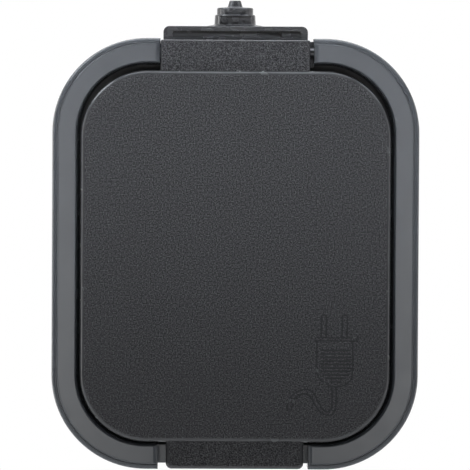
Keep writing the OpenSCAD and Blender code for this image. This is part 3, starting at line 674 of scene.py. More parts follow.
@dataclass
class FrontFrame:
    """Grey ring round the flap, open at the hinge and bridged behind the pull lip."""

    width: float = 70.0
    height: float = 82.3
    corner: float = 18.0
    back: float = 41.0
    front: float = 50.0
    band: float = 4.5
    shoulder: float = 0.8
    step: float = 0.35
    crease: float = 0.2
    draft: float = 0.4
    wall: float = 1.5
    steps: int = 28
    hinge_gap: tuple[float, float] = (-14.52, 14.85)
    pull_gap: tuple[float, float] = (-14.635, 14.065)
    end_slope: float = 0.6
    end_run: float = 1.0
    hook_x: float = 30.1
    hook_z: float = 15.0
    hook_half: float = 2.8

    def section(self) -> list[Corner]:
        """Returns the ring's section: distance outwards, depth and rounding of each corner."""
        crest = self.front - self.step
        inner = self.band + self.draft
        hollow = self.front - self.wall
        return [(0.0, self.back, 0.15), (0.0, crest, self.shoulder - 0.02),
                (-self.shoulder - 0.06, crest, 0.04), (-self.shoulder - 0.1, crest - 0.15, 0.04),
                (-self.shoulder - self.crease, crest - 0.15, 0.04), (-self.shoulder - self.crease - 0.04, self.front, 0.28),
                (-self.band, self.front, 0.18), (-self.band - 0.3, self.front - 0.6, 0.5),
                (-inner - 0.2, self.front - 2.6, 1.0), (-inner - 0.2, self.back, 0.15),
                (-inner + self.wall, self.back, 0.1),
                (-inner + self.wall, hollow, 0.3), (-self.wall, hollow, 0.3), (-self.wall, self.back, 0.1)]

    def press_end(self, part: Blank, edges: Sequence[bmesh.types.BMEdge], share: float) -> None:
        """Presses the front of one section down, to slope the ring's end.

        Args:
            part: the ring.
            edges: the section's edges.
            share: how much of the slope's height the section loses, from 0 to 1.
        """
        limit = -(self.front - self.end_slope * share)
        for vert in {v for e in edges for v in e.verts}:
            vert.co.y = max(vert.co.y, limit)

    def half(self, right: bool) -> Blank:
        """Makes one half of the ring, from the hinge gap to the pull gap.

        Args:
            right: if it is the right half.

        Returns:
            The half.
        """
        part = Blank()
        edges = part.loop(self.section(), 5, False)
        sign = 1 if right else -1
        top_end = self.hinge_gap[1] if right else self.hinge_gap[0]
        low_end = self.pull_gap[1] if right else self.pull_gap[0]
        place = Matrix.Translation((top_end, 0.0, self.height / 2)) @ Matrix(
            ((0, 0, 0, 0), (0, 0, -1, 0), (1, 0, 0, 0), (0, 0, 0, 1)))
        bmesh.ops.transform(part.bm, matrix=place, verts=list(part.bm.verts))
        first = edges
        along = Vector((sign, 0.0, 0.0))
        rings = [edges]
        shares = (1.0, 0.62, 0.3, 0.08, 0.0)
        stops = (0.0, 0.2, 0.42, 0.68, 1.0)
        for low, high in zip(stops, stops[1:]):
            rings.append(part.go_straight(rings[-1], along * (high - low) * self.end_run))
        edges = part.go_straight(rings[-1], along * (abs(self.width / 2 - self.corner) - abs(top_end) - self.end_run))
        centre = Vector((sign * (self.width / 2 - self.corner), 0.0, self.height / 2 - self.corner))
        turn = sign * math.pi / 2
        edges = part.go_round(edges, centre, Vector((0.0, 1.0, 0.0)), turn, self.steps)
        edges = part.go_straight(edges, Vector((0.0, 0.0, -(self.height - 2 * self.corner))))
        centre = Vector((centre.x, 0.0, -centre.z))
        edges = part.go_round(edges, centre, Vector((0.0, 1.0, 0.0)), turn, self.steps)
        rest = abs(self.width / 2 - self.corner) - abs(low_end) - self.end_run
        lower = [part.go_straight(edges, -along * rest)]
        for high, low in zip(reversed(stops), list(reversed(stops))[1:]):
            lower.append(part.go_straight(lower[-1], -along * (high - low) * self.end_run))
        for ring, share in zip(rings, shares):
            self.press_end(part, ring, share)
        for ring, share in zip(reversed(lower), shares):
            self.press_end(part, ring, share)
        for cap in (first, lower[-1]):
            bmesh.ops.edgeloop_fill(part.bm, edges=cap)
        bmesh.ops.recalc_face_normals(part.bm, faces=list(part.bm.faces))
        return part

    def build(self, finishes: Finishes) -> bpy.types.Object:
        """Builds the frame.

        Args:
            finishes: the socket's finishes.

        Returns:
            The piece.
        """
        blank = self.half(True)
        blank.add(self.half(False))
        top = self.height / 2
        inner = self.band + self.draft
        for low, high in ((-18.3, self.hinge_gap[0] + 0.02), (self.hinge_gap[1] - 0.02, 18.3)):
            blank.block((low, self.back + 0.05, top - inner + 0.7), (high, self.front - 0.8, top - 0.7), 0.1)
        bridge = Blank()
        bridge.block((-16.1, self.back, -top + 0.8), (15.5, self.back + 3.5, -top + self.band), 0.25, 3)
        blank.add(bridge)
        for x in (-1, 1):
            for z in (-1, 1):
                shank = sorted((x * self.hook_x, x * (self.hook_x + self.wall)))
                barb = sorted((x * (self.hook_x - 0.8), x * (self.hook_x + 0.2)))
                z0, z1 = z * self.hook_z - self.hook_half, z * self.hook_z + self.hook_half
                blank.block((shank[0], 36.8, z0), (shank[1], self.back + 1.5, z1), 0.15)
                blank.block((barb[0], 37.2, z0 + 0.05), (barb[1], 38.4, z1 - 0.05), 0.15)
        return blank.finish("frame_ring", Body.HOUSING, Slot.FRAME, [finishes.frame], ["front_frame"])


@dataclass
class PlugSign:
    """Generic plug sign, sunk as round grooves in the flap's face. Places are x and z on the face."""

    width: float = 0.3
    face: float = 51.5
    sink: float = 0.03
    rib_width: float = 0.36
    cord_width: float = 0.3

    def groove(self, points: Sequence[tuple[float, float]], closed: bool = False, width: float | None = None) -> Blank:
        """Makes one groove's cutter: a round bar that follows a line.

        Args:
            points: the line's points.
            closed: if the line runs back to its start.
            width: width of the groove, if it isn't the usual one.

        Returns:
            The cutter.
        """
        curve = bpy.data.curves.new("line", "CURVE")
        curve.dimensions = "3D"
        curve.bevel_depth = (width or self.width) / 2
        curve.bevel_resolution = 2
        curve.use_fill_caps = True
        spline = curve.splines.new("POLY")
        spline.points.add(len(points) - 1)
        for spot, (x, z) in zip(spline.points, points):
            spot.co = (x, -self.face + self.sink, z, 1.0)
        spline.use_cyclic_u = closed
        line = bpy.data.objects.new("line", curve)
        blank = Blank()
        mesh = line.to_mesh()
        blank.bm.from_mesh(mesh)
        line.to_mesh_clear()
        bpy.data.objects.remove(line)
        bpy.data.curves.remove(curve)
        bmesh.ops.remove_doubles(blank.bm, verts=list(blank.bm.verts), dist=1e-5)
        bmesh.ops.recalc_face_normals(blank.bm, faces=list(blank.bm.faces))
        return blank

    @staticmethod
    def smooth(points: Sequence[tuple[float, float]], rounds: int = 2) -> list[tuple[float, float]]:
        """Rounds a line by cutting its corners.

        Args:
            points: the line's points.
            rounds: how often the corners are cut.

        Returns:
            The rounded line.
        """
        line = list(points)
        for _ in range(rounds):
            cut = [line[0]]
            for (ax, az), (bx, bz) in zip(line, line[1:]):
                cut += [(0.75 * ax + 0.25 * bx, 0.75 * az + 0.25 * bz), (0.25 * ax + 0.75 * bx, 0.25 * az + 0.75 * bz)]
            line = [*cut, line[-1]]
        return line

    def layers(self) -> list[list[Blank]]:
        """Returns the cutters in layers. The cutters of one layer don't touch each other."""
        prongs = [self.groove(self.smooth([(x - 0.48, -15.85), (x - 0.48, -12.3), (x - 0.48, -11.5), (x, -11.4),
                                           (x + 0.48, -11.5), (x + 0.48, -12.3), (x + 0.48, -15.85)]))
                  for x in (16.92, 20.9)]
        flange = [self.groove([(15.4, -15.74), (23.4, -15.74), (23.4, -16.32), (15.4, -16.32)], closed=True)]
        left = self.smooth([(15.6, -16.4), (15.6, -22.0), (15.9, -23.4), (17.2, -24.5), (18.6, -25.05), (19.3, -25.05)])
        right = self.smooth([(22.45, -16.4), (22.45, -22.0), (22.3, -23.6), (21.3, -24.6), (20.2, -25.05), (19.3, -25.05)])
        body = [self.groove(left + right[::-1][1:])]
        ridges = []
        for row, trim in enumerate((0.0, 0.0, 0.0, 0.0, 0.0, 0.0, 0.05, 0.35, 0.95, 1.75)):
            z = -18.15 - 0.663 * row
            ridges.append(self.groove([(16.3 + trim, z), (22.1 - trim, z)], width=self.rib_width))
        outer = self.smooth([(19.35, -25.2), (19.35, -28.8), (18.9, -30.3), (18.1, -30.7), (16.6, -30.2),
                             (15.3, -28.6), (14.5, -26.9), (13.4, -26.35), (12.1, -26.7), (11.2, -27.8),
                             (10.75, -29.7)])
        inner = self.smooth([(18.55, -25.2), (18.55, -28.7), (18.35, -29.6), (17.8, -29.95), (17.0, -29.6),
                             (15.95, -28.1), (15.2, -26.4), (14.2, -25.6), (12.9, -25.6), (11.5, -26.2),
                             (10.3, -27.6), (9.95, -29.7)])
        cord = [self.groove(outer, width=self.cord_width), self.groove(inner, width=self.cord_width)]
        return [prongs + body, flange + ridges, cord]


@dataclass
class Flap:
    """Grained flap with its skirt, seal channel, hinge block and pull lip."""

    width: float = 59.1
    height: float = 70.8
    corner: float = 12.8
    middle: float = -0.4
    face: float = 51.5
    inside: float = 49.5
    skirt: float = 42.0
    rib: float = 45.5
    ledge: float = 49.8
    block: tuple[float, float] = (-14.44, 14.06)
    block_top: float = 40.85
    lip: tuple[float, float] = (-13.1, 13.2)
    lip_low: float = -41.1
    lip_back: float = 45.8
    axis_z: float = 38.4
    axis_depth: float = 47.4

    def shell(self) -> Blank:
        """Makes the face with its rounded edge, skirt and seal channel."""
        blank = Blank()
        blank.ring([(-6.2, self.face, 0.0), (0.0, self.face, 1.05), (0.0, self.skirt, 0.3), (-1.6, self.skirt, 0.3),
                    (-1.6, self.rib, 0.2), (-2.9, self.rib, 0.12), (-2.9, self.inside, 0.2),
                    (-5.3, self.inside, 0.2), (-5.3, self.rib, 0.15), (-6.2, self.rib, 0.15),
                    (-6.2, self.inside, 0.0)], self.width, self.height, self.corner, self.middle,
                   segments=6, steps=24, filled=True)
        return blank

    def hinge_block(self) -> Blank:
        """Makes the hinge block with the room for the coil and the bore for the pin."""
        middle = (self.block[0] + self.block[1]) / 2
        blank = Blank()
        blank.block((self.block[0], self.skirt, 34.0), (self.block[1], self.ledge, self.block_top), 0.3, 3)
        slot = Blank()
        slot.block((middle - 10.3, 41.0, self.axis_z - 1.5), (middle + 10.3, self.axis_depth, self.axis_z + 1.5))
        blank.cut(slot)
        for radius, length in ((1.5, 20.6), (0.95, 30.0)):
            bore = Blank()
            bore.bar((middle, self.axis_depth, self.axis_z), radius, length, "X")
            blank.cut(bore)
        return blank

    def pull_lip(self) -> Blank:
        """Makes the pull lip with its rounded lower edge and the hollow behind it."""
        top = self.middle - self.height / 2 + 0.8
        blank = Blank()
        blank.slab(rectangle(*self.lip, self.lip_low, top, lower=1.1), self.lip_back, self.ledge)
        lower = [e for e in blank.bm.edges
                 if all(abs(v.co.y + self.ledge) < 1e-4 for v in e.verts)
                 and not all(v.co.z > top - 1e-3 for v in e.verts)]
        blank.round_edges(lower, 0.9, 5)
        hollow = Blank()
        hollow.slab(rectangle(self.lip[0] + 1.6, self.lip[1] - 1.6, self.lip_low + 1.6, top - 1.2, 0.4, 0.4),
                    self.lip_back - 1.0, self.ledge - 1.8)
        blank.cut(hollow)
        return blank

    def build(self, finishes: Finishes, sign: PlugSign) -> bpy.types.Object:
        """Builds the flap.

        Args:
            finishes: the socket's finishes.
            sign: the sign in its face.

        Returns:
            The piece.
        """
        blank = self.shell()
        for layer in sign.layers():
            cutter = Blank()
            for groove in layer:
                cutter.add(groove)
            blank.cut(cutter)
        blank.add(self.hinge_block())
        blank.add(self.pull_lip())
        return blank.finish("flap_cover", Body.FLAP, Slot.FLAP, [finishes.flap_smooth, finishes.flap_grain],
                            ["flap"], grained=49.0)

    def build_seal(self, finishes: Finishes) -> bpy.types.Object:
        """Builds the seal in the flap's channel.

        Args:
            finishes: the socket's finishes.

        Returns:
            The piece.
        """
        blank = Blank()
        blank.ring([(-2.95, self.inside, 0.0), (-2.95, 43.85, 0.2), (-3.5, 43.3, 0.3), (-4.7, 43.3, 0.3),
                    (-5.25, 43.85, 0.2), (-5.25, self.inside, 0.0)], self.width, self.height, self.corner,
                   self.middle, segments=3)
        return blank.finish("flap_seal", Body.FLAP, Slot.SEAL, [finishes.seal], ["flap_gasket"])


@dataclass
class Housing:
    """Back box, its seal and the inner cover."""

    width: float = 68.0
    height: float = 80.3
    corner: float = 17.0
    depth: float = 34.0
    wall: float = 2.0
    floor: float = 2.2
    seal: float = 1.2
    plate: float = 41.0
    plate_back: float = 38.5
    rim_end: float = 43.0
    well: float = 22.2
    screw_x: float = 19.85
    screw_z: float = 25.25
    ear_x: float = 25.5
    entry_half: float = 12.6
    fixing_pitch: float = 60.0
    hook_x: float = 30.1
    tab: tuple[float, float] = (14.15, 14.82)
    tab_front: float = 45.6
    tab_top: float = 40.6

    def screw_places(self) -> list[tuple[float, float]]:
        """Returns x and z of the four cover screws."""
        return [(x * self.screw_x, z * self.screw_z) for x in (-1, 1) for z in (-1, 1)]

    def build_box(self, finishes: Finishes) -> bpy.types.Object:
        """Builds the back box.

        Args:
            finishes: the socket's finishes.

        Returns:
            The piece.
        """
        blank = Blank()
        blank.ring([(-6.0, 0.0, 0.0), (0.0, 0.0, 0.8), (0.0, self.depth, 0.15), (-self.wall, self.depth, 0.15),
                    (-self.wall, self.floor, 0.5), (-6.0, self.floor, 0.0)], self.width, self.height, self.corner,
                   segments=3, steps=28, filled=True)
        for z in (-1, 1):
            slot = Blank()
            middle = z * self.fixing_pitch / 2
            slot.slab(rectangle(-2.25, 2.25, middle - 4.0, middle + 4.0, 2.249, 2.249), -1.0, self.floor + 1.0,
                      segments=10)
            blank.cut(slot)
        entry = Blank()
        entry.block((-self.entry_half, 10.0, self.height / 2 - self.wall - 1.0),
                    (self.entry_half, self.depth + 1.0, self.height / 2 + 1.0))
        blank.cut(entry)
        for x, z in self.screw_places():
            post = Blank()
            post.post(x, z, 3.5, self.floor / 2, self.depth - 0.02, 0.2)
            bore = Blank()
            bore.post(x, z, 1.55, 23.0, self.depth + 1.0, sides=32)
            post.cut(bore)
            blank.add(post)
        for x in (-1, 1):
            post = Blank()
            post.post(x * self.ear_x, 0.0, 3.1, self.floor / 2, 11.98, 0.2)
            bore = Blank()
            bore.post(x * self.ear_x, 0.0, 1.55, 6.4, 13.0, sides=32)
            post.cut(bore)
            blank.add(post)
        return blank.finish("box_tray", Body.HOUSING, Slot.FRAME, [finishes.frame], ["back_box"])

    def build_seal(self, finishes: Finishes) -> bpy.types.Object:
        """Builds the seal between box and cover.

        Args:
            finishes: the socket's finishes.

        Returns:
            The piece.
        """
        blank = Blank()
        top = self.depth + self.seal
        blank.ring([(-0.1, self.depth, 0.0), (-0.1, top, 0.0), (0.1 - self.wall, top, 0.0),
                    (0.1 - self.wall, self.depth, 0.0)], self.width, self.height, self.corner)
        blank.round_sharp(0.12)
        return blank.finish("box_seal", Body.HOUSING, Slot.SEAL, [finishes.seal], ["box_gasket"])

    def build_cover(self, finishes: Finishes, flap: Flap) -> bpy.types.Object:
        """Builds the inner cover with its collar.

        Args:
            finishes: the socket's finishes.
            flap: the flap whose outline the collar follows.

        Returns:
            The piece.
        """
        rim = self.depth + self.seal
        blank = Blank()
        blank.ring([(-6.0, self.plate, 0.0), (0.0, self.plate, 0.35), (0.0, rim, 0.15), (-2.2, rim, 0.0),
                    (-2.2, 30.0, 0.2), (-3.6, 30.0, 0.2), (-3.6, 36.6, 0.0), (-2.0, 36.6, 0.0),
                    (-2.0, self.plate_back, 0.0), (-6.0, self.plate_back, 0.0)], self.width, self.height,
                   self.corner, segments=3, steps=28, filled=True)
        hole = Blank()
        hole.post(0.0, 0.0, self.well, self.plate_back - 1.0, self.plate + 1.0, sides=96)
        blank.cut(hole)
        for x, z in self.screw_places():
            seat = Blank()
            seat.post(x, z, 3.0, 38.6, self.plate + 1.0)
            blank.cut(seat)
        for x in (-1, 1):
            for z in (-15.0, 15.0):
                slot = Blank()
                ends = sorted((x * (self.hook_x - 0.2), x * (self.hook_x + 1.7)))
                slot.block((ends[0], self.plate_back - 1.0, z - 3.0), (ends[1], self.plate + 1.0, z + 3.0))
                blank.cut(slot)
        notch = Blank()
        notch.block((-14.4, 29.0, self.height / 2 - 4.5), (14.4, rim - 0.01, self.height / 2))
        blank.cut(notch)
        for x, z in self.screw_places():
            boss = Blank()
            boss.post(x, z, 3.5, 34.1, 38.75, 0.15)
            bore = Blank()
            bore.post(x, z, 1.7, 33.0, 40.0, sides=32)
            boss.cut(bore)
            blank.add(boss)
        blank.block((self.tab[0], self.plate - 1.0, self.height / 2 - 4.5), (self.tab[1], self.tab_front, self.tab_top), 0.1)
        blank.ring([(-3.4, 40.0, 0.0), (-3.4, self.rim_end, 0.35), (-4.8, self.rim_end, 0.35), (-4.8, 40.0, 0.0)],
                   flap.width, flap.height, flap.corner, flap.middle, segments=4)
        return blank.finish("cover_plate", Body.HOUSING, Slot.COVER, [finishes.cover], ["inner_cover"])


@dataclass
class Well:
    """Round well that takes the plug."""

    radius: float = 20.0
    wall: float = 2.0
    back: float = 22.2
    front: float = 43.0
    floor: float = 25.5
    flange: tuple[float, float] = (36.9, 38.4)
    rib: float = 2.2
    rib_half: float = 2.5
    window_half: float = 4.5
    window_end: float = 40.3

    def build(self, finishes: Finishes) -> bpy.types.Object:
        """Builds the well's sleeve.

        Args:
            finishes: the socket's finishes.

        Returns:
            The piece.
        """
        outer = self.radius + self.wall
        blank = Blank()
        blank.turned([(self.radius, self.back, 0.1), (self.radius, self.front, 0.55), (outer, self.front, 0.35),
                      (outer, self.flange[1], 0.0), (outer + 2.4, self.flange[1], 0.2),
                      (outer + 2.4, self.flange[0], 0.2), (outer, self.flange[0], 0.2), (outer, self.back, 0.1)],
                     steps=112)
        for z in (-1, 1):
            window = Blank()
            ends = sorted((z * (self.radius - 1.0), z * (outer + 1.0)))
            window.block((-self.window_half, self.back - 1.0, ends[0]), (self.window_half, self.window_end, ends[1]))
            blank.cut(window)
        for x in (-1, 1):
            ends = sorted((x * (self.radius - self.rib), x * (self.radius + 0.6)))
            blank.block((ends[0], self.floor + 0.1, -self.rib_half), (ends[1], self.front - 0.3, self.rib_half), 0.4, 3)
        return blank.finish("well_wall", Body.HOUSING, Slot.COVER, [finishes.cover], ["well_sleeve"])


@dataclass
class CableEntry:
    """Rubber entry plate with the stepped nipple that is cut open for the cable."""

    half: float = 14.0
    low: float = 40.2
    top: float = 43.6
    back: float = 8.0
    front: float = 34.0
    nipple_depth: float = 21.0
    nipple_front: float = 24.95

    def plate(self) -> Blank:
        """Makes the plate with its recesses and its inner lip."""
        blank = Blank()
        blank.slab(rectangle(-self.half, self.half, self.low, self.top, 0.15, 1.15), self.back, self.front, 0.42,
                   segments=6)
        pocket = Blank()
        pocket.slab(rectangle(-12.26, 12.65, self.low + 1.15, self.low + 2.5, 0.12, 0.5), self.front - 2.6,
                    self.front + 1.0)
        blank.cut(pocket)
        arch = Blank()
        arch.slab(rectangle(6.45, 8.95, self.low + 1.16, self.low + 2.3, 0.0, 0.75), self.front - 4.0,
                  self.front - 1.0, segments=8)
        blank.cut(arch)
        notch = Blank()
        notch.slab([(-1.15, self.low + 1.0, 0.0), (-0.15, self.low + 1.0, 0.0), (-0.65, self.low + 1.55, 0.05)],
                   self.front - 1.2, self.front + 1.0)
        blank.cut(notch)
        blank.block((9.0, self.front - 2.62, self.low + 1.14), (9.3, self.front - 0.25, self.low + 2.51), 0.06)
        blank.block((-12.3, self.front - 2.7, self.low + 0.8), (6.4, self.front + 0.3, self.low + 1.3), 0.2)
        blank.block((9.4, self.front - 2.7, self.low + 0.8), (12.7, self.front + 0.3, self.low + 1.3), 0.2)
        blank.block((-12.4, 10.2, 37.95), (12.4, self.front - 0.02, self.low + 1.0), 0.1)
        blank.block((-self.half, self.back, 36.75), (self.half, 29.8, 38.1), 0.25)
        return blank

    def nipple(self) -> Blank:
        """Makes the stepped nipple with the recess in its front."""
        base = self.top
        blank = Blank()
        blank.turned([(0.0, base - 1.0, 0.0), (6.3, base - 1.0, 0.0), (6.3, base - 0.02, 0.1),
                      (4.05, base + 0.42, 0.15), (3.95, base + 2.36, 0.28), (3.55, base + 2.36, 0.08),
                      (3.55, base + 3.71, 0.28), (1.6, base + 3.84, 0.1), (1.42, base + 3.96, 0.1),
                      (1.1, base + 5.16, 0.22), (0.0, base + 5.16, 0.0)], 0.0, self.nipple_depth, "Z", steps=72)
        slot = Blank()
        slot.slab(rectangle(-3.05, 3.05, base + 0.5, base + 2.1, 0.2, 0.2), self.nipple_front - 2.0,
                  self.nipple_front + 1.0)
        blank.cut(slot)
        rim = Blank()
        rim.post(-2.1, base + 1.3, 0.66, self.nipple_front - 2.4, self.nipple_front - 0.4, 0.14, 32)
        hole = Blank()
        hole.post(-2.1, base + 1.3, 0.3, self.nipple_front - 1.0, self.nipple_front, sides=24)
        rim.cut(hole)
        blank.add(rim)
        blank.block((-0.62, self.nipple_front - 2.4, base + 0.82), (0.62, self.nipple_front - 0.12, base + 1.98), 0.15)
        blank.bar((1.75, self.nipple_front - 1.5, base + 1.25), 0.22, 1.8, "Y", 16, 0.05)
        blank.block((-1.9, self.nipple_depth + 2.6, base + 2.75), (1.9, self.nipple_depth + 3.5, base + 3.45), 0.14)
        return blank

    def build(self, finishes: Finishes) -> bpy.types.Object:
        """Builds the cable entry.

        Args:
            finishes: the socket's finishes.

        Returns:
            The piece.
        """
        blank = self.plate()
        blank.add(self.nipple())
        return blank.finish("entry_plate", Body.HOUSING, Slot.ENTRY, [finishes.entry], ["entry_insert"], smooth=38.0)


@dataclass
class Fixings:
    """Cover screws and the hinge pin."""

    head: float = 2.8
    head_height: float = 2.2
    shank: float = 1.5
    length: float = 14.6
    seat: float = 38.6
    pin: float = 0.9
    pin_length: float = 33.65
    pin_x: float = 0.125

    def screw(self, x: float, z: float) -> Blank:
        """Makes one cover screw.

        Args:
            x: place of its axis.
            z: height of its axis.

        Returns:
            The screw.
        """
        blank = Blank()
        top = self.seat + self.head_height
        blank.turned([(0.0, self.seat - self.length, 0.0), (self.shank - 0.4, self.seat - self.length, 0.0),
                      (self.shank, self.seat - self.length + 0.8, 0.0), (self.shank, self.seat, 0.1),
                      (self.head, self.seat, 0.2), (self.head, top, 0.5), (0.0, top, 0.0)], x, z, steps=40)
        slot = Blank()
        slot.block((x - 4.0, top - 1.1, z - 0.4), (x + 4.0, top + 1.0, z + 0.4))
        blank.cut(slot)
        return blank

    def build_screws(self, finishes: Finishes, housing: Housing) -> bpy.types.Object:
        """Builds the four cover screws.

        Args:
            finishes: the socket's finishes.
            housing: the box and cover that they join.

        Returns:
            The piece.
        """
        blank = Blank()
        for x, z in housing.screw_places():
            blank.add(self.screw(x, z))
        return blank.finish("cover_screw_set", Body.HOUSING, Slot.STEEL, [finishes.steel], ["cover_screws"])

    def build_pin(self, finishes: Finishes, flap: Flap) -> bpy.types.Object:
        """Builds the hinge pin.

        Args:
            finishes: the socket's finishes.
            flap: the flap that turns on it.

        Returns:
            The piece.
        """
        blank = Blank()
        blank.bar((self.pin_x, flap.axis_depth, flap.axis_z), self.pin, self.pin_length, "X", 40, 0.15)
        return blank.finish("hinge_rod", Body.HOUSING, Slot.STEEL, [finishes.pin], ["hinge_pin"])


@dataclass
class Insides:
    """Contact block, contacts, terminals and their screws: the frame's own shapes with rounded edges."""

    edge: float = 0.12

    def build(self, finishes: Finishes) -> None:
        """Dresses the inner nodes.

        Args:
            finishes: the socket's finishes.
        """
        rows = [("contact_carrier", "contact_block", Slot.CARRIER, finishes.carrier, 0.25),
                ("earth_bracket", "earth_strip", Slot.BRASS, finishes.brass, 0.1),
                ("live_contact", "live_spring_clip", Slot.BRASS, finishes.brass, 0.1),
                ("neutral_contact", "neutral_spring_clip", Slot.BRASS, finishes.brass, 0.1),
                ("live_terminal", "live_clamp", Slot.BRASS, finishes.brass, 0.25),
                ("neutral_terminal", "neutral_clamp", Slot.BRASS, finishes.brass, 0.25),
                ("earth_terminal", "earth_clamp", Slot.BRASS, finishes.brass, 0.25),
                ("live_screw", "live_clamp_screw", Slot.STEEL, finishes.steel, self.edge),
                ("neutral_screw", "neutral_clamp_screw", Slot.STEEL, finishes.steel, self.edge),
                ("earth_screw", "earth_clamp_screw", Slot.STEEL, finishes.steel, self.edge),
                ("carrier_screws", "block_screw_pair", Slot.STEEL, finishes.steel, self.edge)]
        for node, name, slot, finish, edge in rows:
            copy_of(node).finish(name, Body.HOUSING, slot, [finish], [node], edge=edge)


@dataclass(frozen=True)
class Softbox:
    """A rectangular studio light."""

    name: str
    place: Point
    target: Point
    size: tuple[float, float]
    power: float
    spread: float = 180.0
    mirrored: bool = True
    tint: Colour = (1.0, 1.0, 1.0)

    def make(self) -> bpy.types.Object:
        """Returns the light, aimed at its target."""
        data = bpy.data.lights.new(self.name, "AREA")
        data.shape = "RECTANGLE"
        data.size, data.size_y = self.size
        data.energy = self.power
        data.spread = math.radians(self.spread)
        data.color = self.tint
        light = bpy.data.objects.new(self.name, data)
        bpy.context.scene.collection.objects.link(light)
        light.location = self.place
        light.rotation_mode = "QUATERNION"
        light.rotation_quaternion = (Vector(self.target) - Vector(self.place)).to_track_quat("-Z", "Y")
        light.visible_camera = False
        light.visible_glossy = self.mirrored
        return light


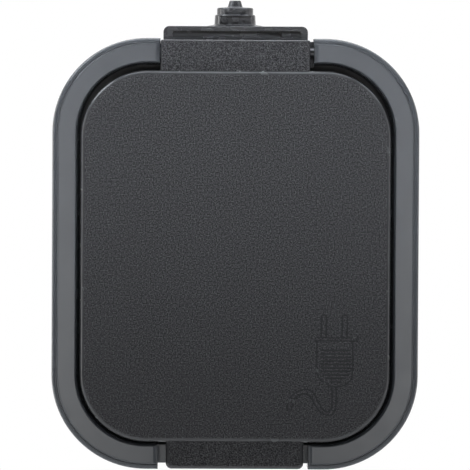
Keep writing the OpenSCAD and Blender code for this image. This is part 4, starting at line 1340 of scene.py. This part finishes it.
@dataclass
class Studio:
    """Camera, lights, white surroundings and the pale floor."""

    eye: Point = (-0.0094, -0.95, 0.035)
    aim: Point = (-0.00009, -0.05, 0.0037)
    roll: float = 0.31
    lens: float = 361.9
    floor_z: float = -0.12
    floor_radius: float = 0.5
    surround: float = 0.03

    def lights(self) -> list[Softbox]:
        """Returns the lights."""
        middle, cool = (0.0, -0.05, 0.0), (0.88, 0.93, 1.0)
        return [Softbox("top box", (0.0, -0.13, 0.30), (0.0, -0.04, 0.02), (0.30, 0.16), 0.10, tint=cool),
                Softbox("near beam", (0.0, -0.22, 0.17), (0.0, -0.05, 0.03), (0.20, 0.05), 0.007, 60.0, False, cool),
                Softbox("high beam", (0.0, -0.60, 0.15), (0.0, -0.05, 0.045), (0.25, 0.08), 0.030, 12.0, False, cool),
                Softbox("mid beam", (0.0, -0.60, 0.15), (0.0, -0.05, 0.033), (0.25, 0.08), 0.045, 12.0, False, cool),
                Softbox("front box left", (-0.12, -0.95, -0.02), middle, (0.12, 0.08), 0.12),
                Softbox("front box right", (0.12, -0.95, -0.02), middle, (0.12, 0.08), 0.12),
                Softbox("low box left", (-0.12, -0.95, -0.09), middle, (0.12, 0.12), 0.33),
                Softbox("low box right", (0.12, -0.95, -0.09), middle, (0.12, 0.12), 0.225),
                Softbox("back strip left", (-0.30, 0.08, 0.0), middle, (0.08, 0.30), 0.35),
                Softbox("side strip left", (-0.35, -0.07, 0.0), middle, (0.06, 0.30), 0.28),
                Softbox("back strip right", (0.30, 0.08, 0.0), middle, (0.08, 0.30), 0.13),
                Softbox("side strip right", (0.35, -0.07, 0.0), middle, (0.06, 0.30), 0.17),
                Softbox("back strip top", (0.0, 0.08, 0.30), middle, (0.40, 0.08), 0.80, tint=cool),
                Softbox("side strip top", (0.0, -0.07, 0.35), middle, (0.30, 0.06), 0.40, tint=cool),
                Softbox("corner left", (-0.25, -0.07, 0.25), middle, (0.14, 0.14), 0.60, tint=cool),
                Softbox("corner right", (0.25, -0.07, 0.25), middle, (0.14, 0.14), 0.22, tint=cool),
                Softbox("back sheet", (0.0, 0.45, 0.05), (0.0, 0.0, 0.0), (1.2, 1.2), 4.5)]

    def build(self) -> None:
        """Builds the studio."""
        camera = bpy.data.cameras.new("camera")
        camera.lens = self.lens
        camera.sensor_width = 36.0
        camera.sensor_fit = "AUTO"
        camera.clip_start = 0.05
        holder = bpy.data.objects.new("camera", camera)
        bpy.context.scene.collection.objects.link(holder)
        holder.location = self.eye
        holder.rotation_mode = "QUATERNION"
        look = (Vector(self.aim) - Vector(self.eye)).to_track_quat("-Z", "Y")
        holder.rotation_quaternion = look @ Matrix.Rotation(math.radians(self.roll), 3, "Z").to_quaternion()
        bpy.context.scene.camera = holder
        for light in self.lights():
            light.make()
        self.surroundings()
        self.floor()
        bpy.context.scene.view_settings.view_transform = "Standard"

    def surroundings(self) -> None:
        """Makes the surroundings white to the eye and dimmer as a light."""
        world = bpy.data.worlds.new("white room")
        world.use_nodes = True
        bpy.context.scene.world = world
        tree = world.node_tree
        tree.nodes.clear()
        path = tree.nodes.new("ShaderNodeLightPath")
        dim, white = tree.nodes.new("ShaderNodeBackground"), tree.nodes.new("ShaderNodeBackground")
        dim.inputs["Strength"].default_value = self.surround
        white.inputs["Strength"].default_value = 1.0
        for sky in (dim, white):
            sky.inputs["Color"].default_value = (1.0, 1.0, 1.0, 1.0)
        mix = tree.nodes.new("ShaderNodeMixShader")
        out = tree.nodes.new("ShaderNodeOutputWorld")
        tree.links.new(path.outputs["Is Camera Ray"], mix.inputs["Fac"])
        tree.links.new(dim.outputs["Background"], mix.inputs[1])
        tree.links.new(white.outputs["Background"], mix.inputs[2])
        tree.links.new(mix.outputs["Shader"], out.inputs["Surface"])

    def floor(self) -> None:
        """Makes the plain pale floor, well below the socket."""
        sheet = NodeSheet("pale floor")
        sheet.shader.inputs["Roughness"].default_value = 0.9
        sheet.join(sheet.ramp(sheet.noise(60.0), (0.86, 0.86, 0.86), (0.9, 0.9, 0.9)),
                   sheet.shader.inputs["Base Color"])
        shape = bmesh.new()
        bmesh.ops.create_circle(shape, cap_ends=True, radius=self.floor_radius, segments=96,
                                matrix=Matrix.Translation((0.0, 0.0, self.floor_z)))
        mesh = bpy.data.meshes.new("floor")
        shape.to_mesh(mesh)
        shape.free()
        mesh.materials.append(sheet.material)
        floor = bpy.data.objects.new("floor", mesh)
        bpy.context.scene.collection.objects.link(floor)


def main() -> None:
    """Builds the studio and every piece, in order."""
    logging.basicConfig(level=logging.INFO, format="%(name)s: %(message)s")
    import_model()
    finishes = Finishes()
    Studio().build()
    flap, housing = Flap(), Housing()
    FrontFrame().build(finishes)
    flap.build(finishes, PlugSign())
    flap.build_seal(finishes)
    housing.build_box(finishes)
    housing.build_seal(finishes)
    housing.build_cover(finishes, flap)
    Well().build(finishes)
    CableEntry().build(finishes)
    fixings = Fixings()
    fixings.build_screws(finishes, housing)
    fixings.build_pin(finishes, flap)
    Insides().build(finishes)
    spring = bpy.data.objects["hinge_spring"]
    spring.data.materials.clear()
    spring.data.materials.append(finishes.pin)
    LOG.info("hinge_spring: keeps the frame's coil")


if __name__ == "__main__":
    main()
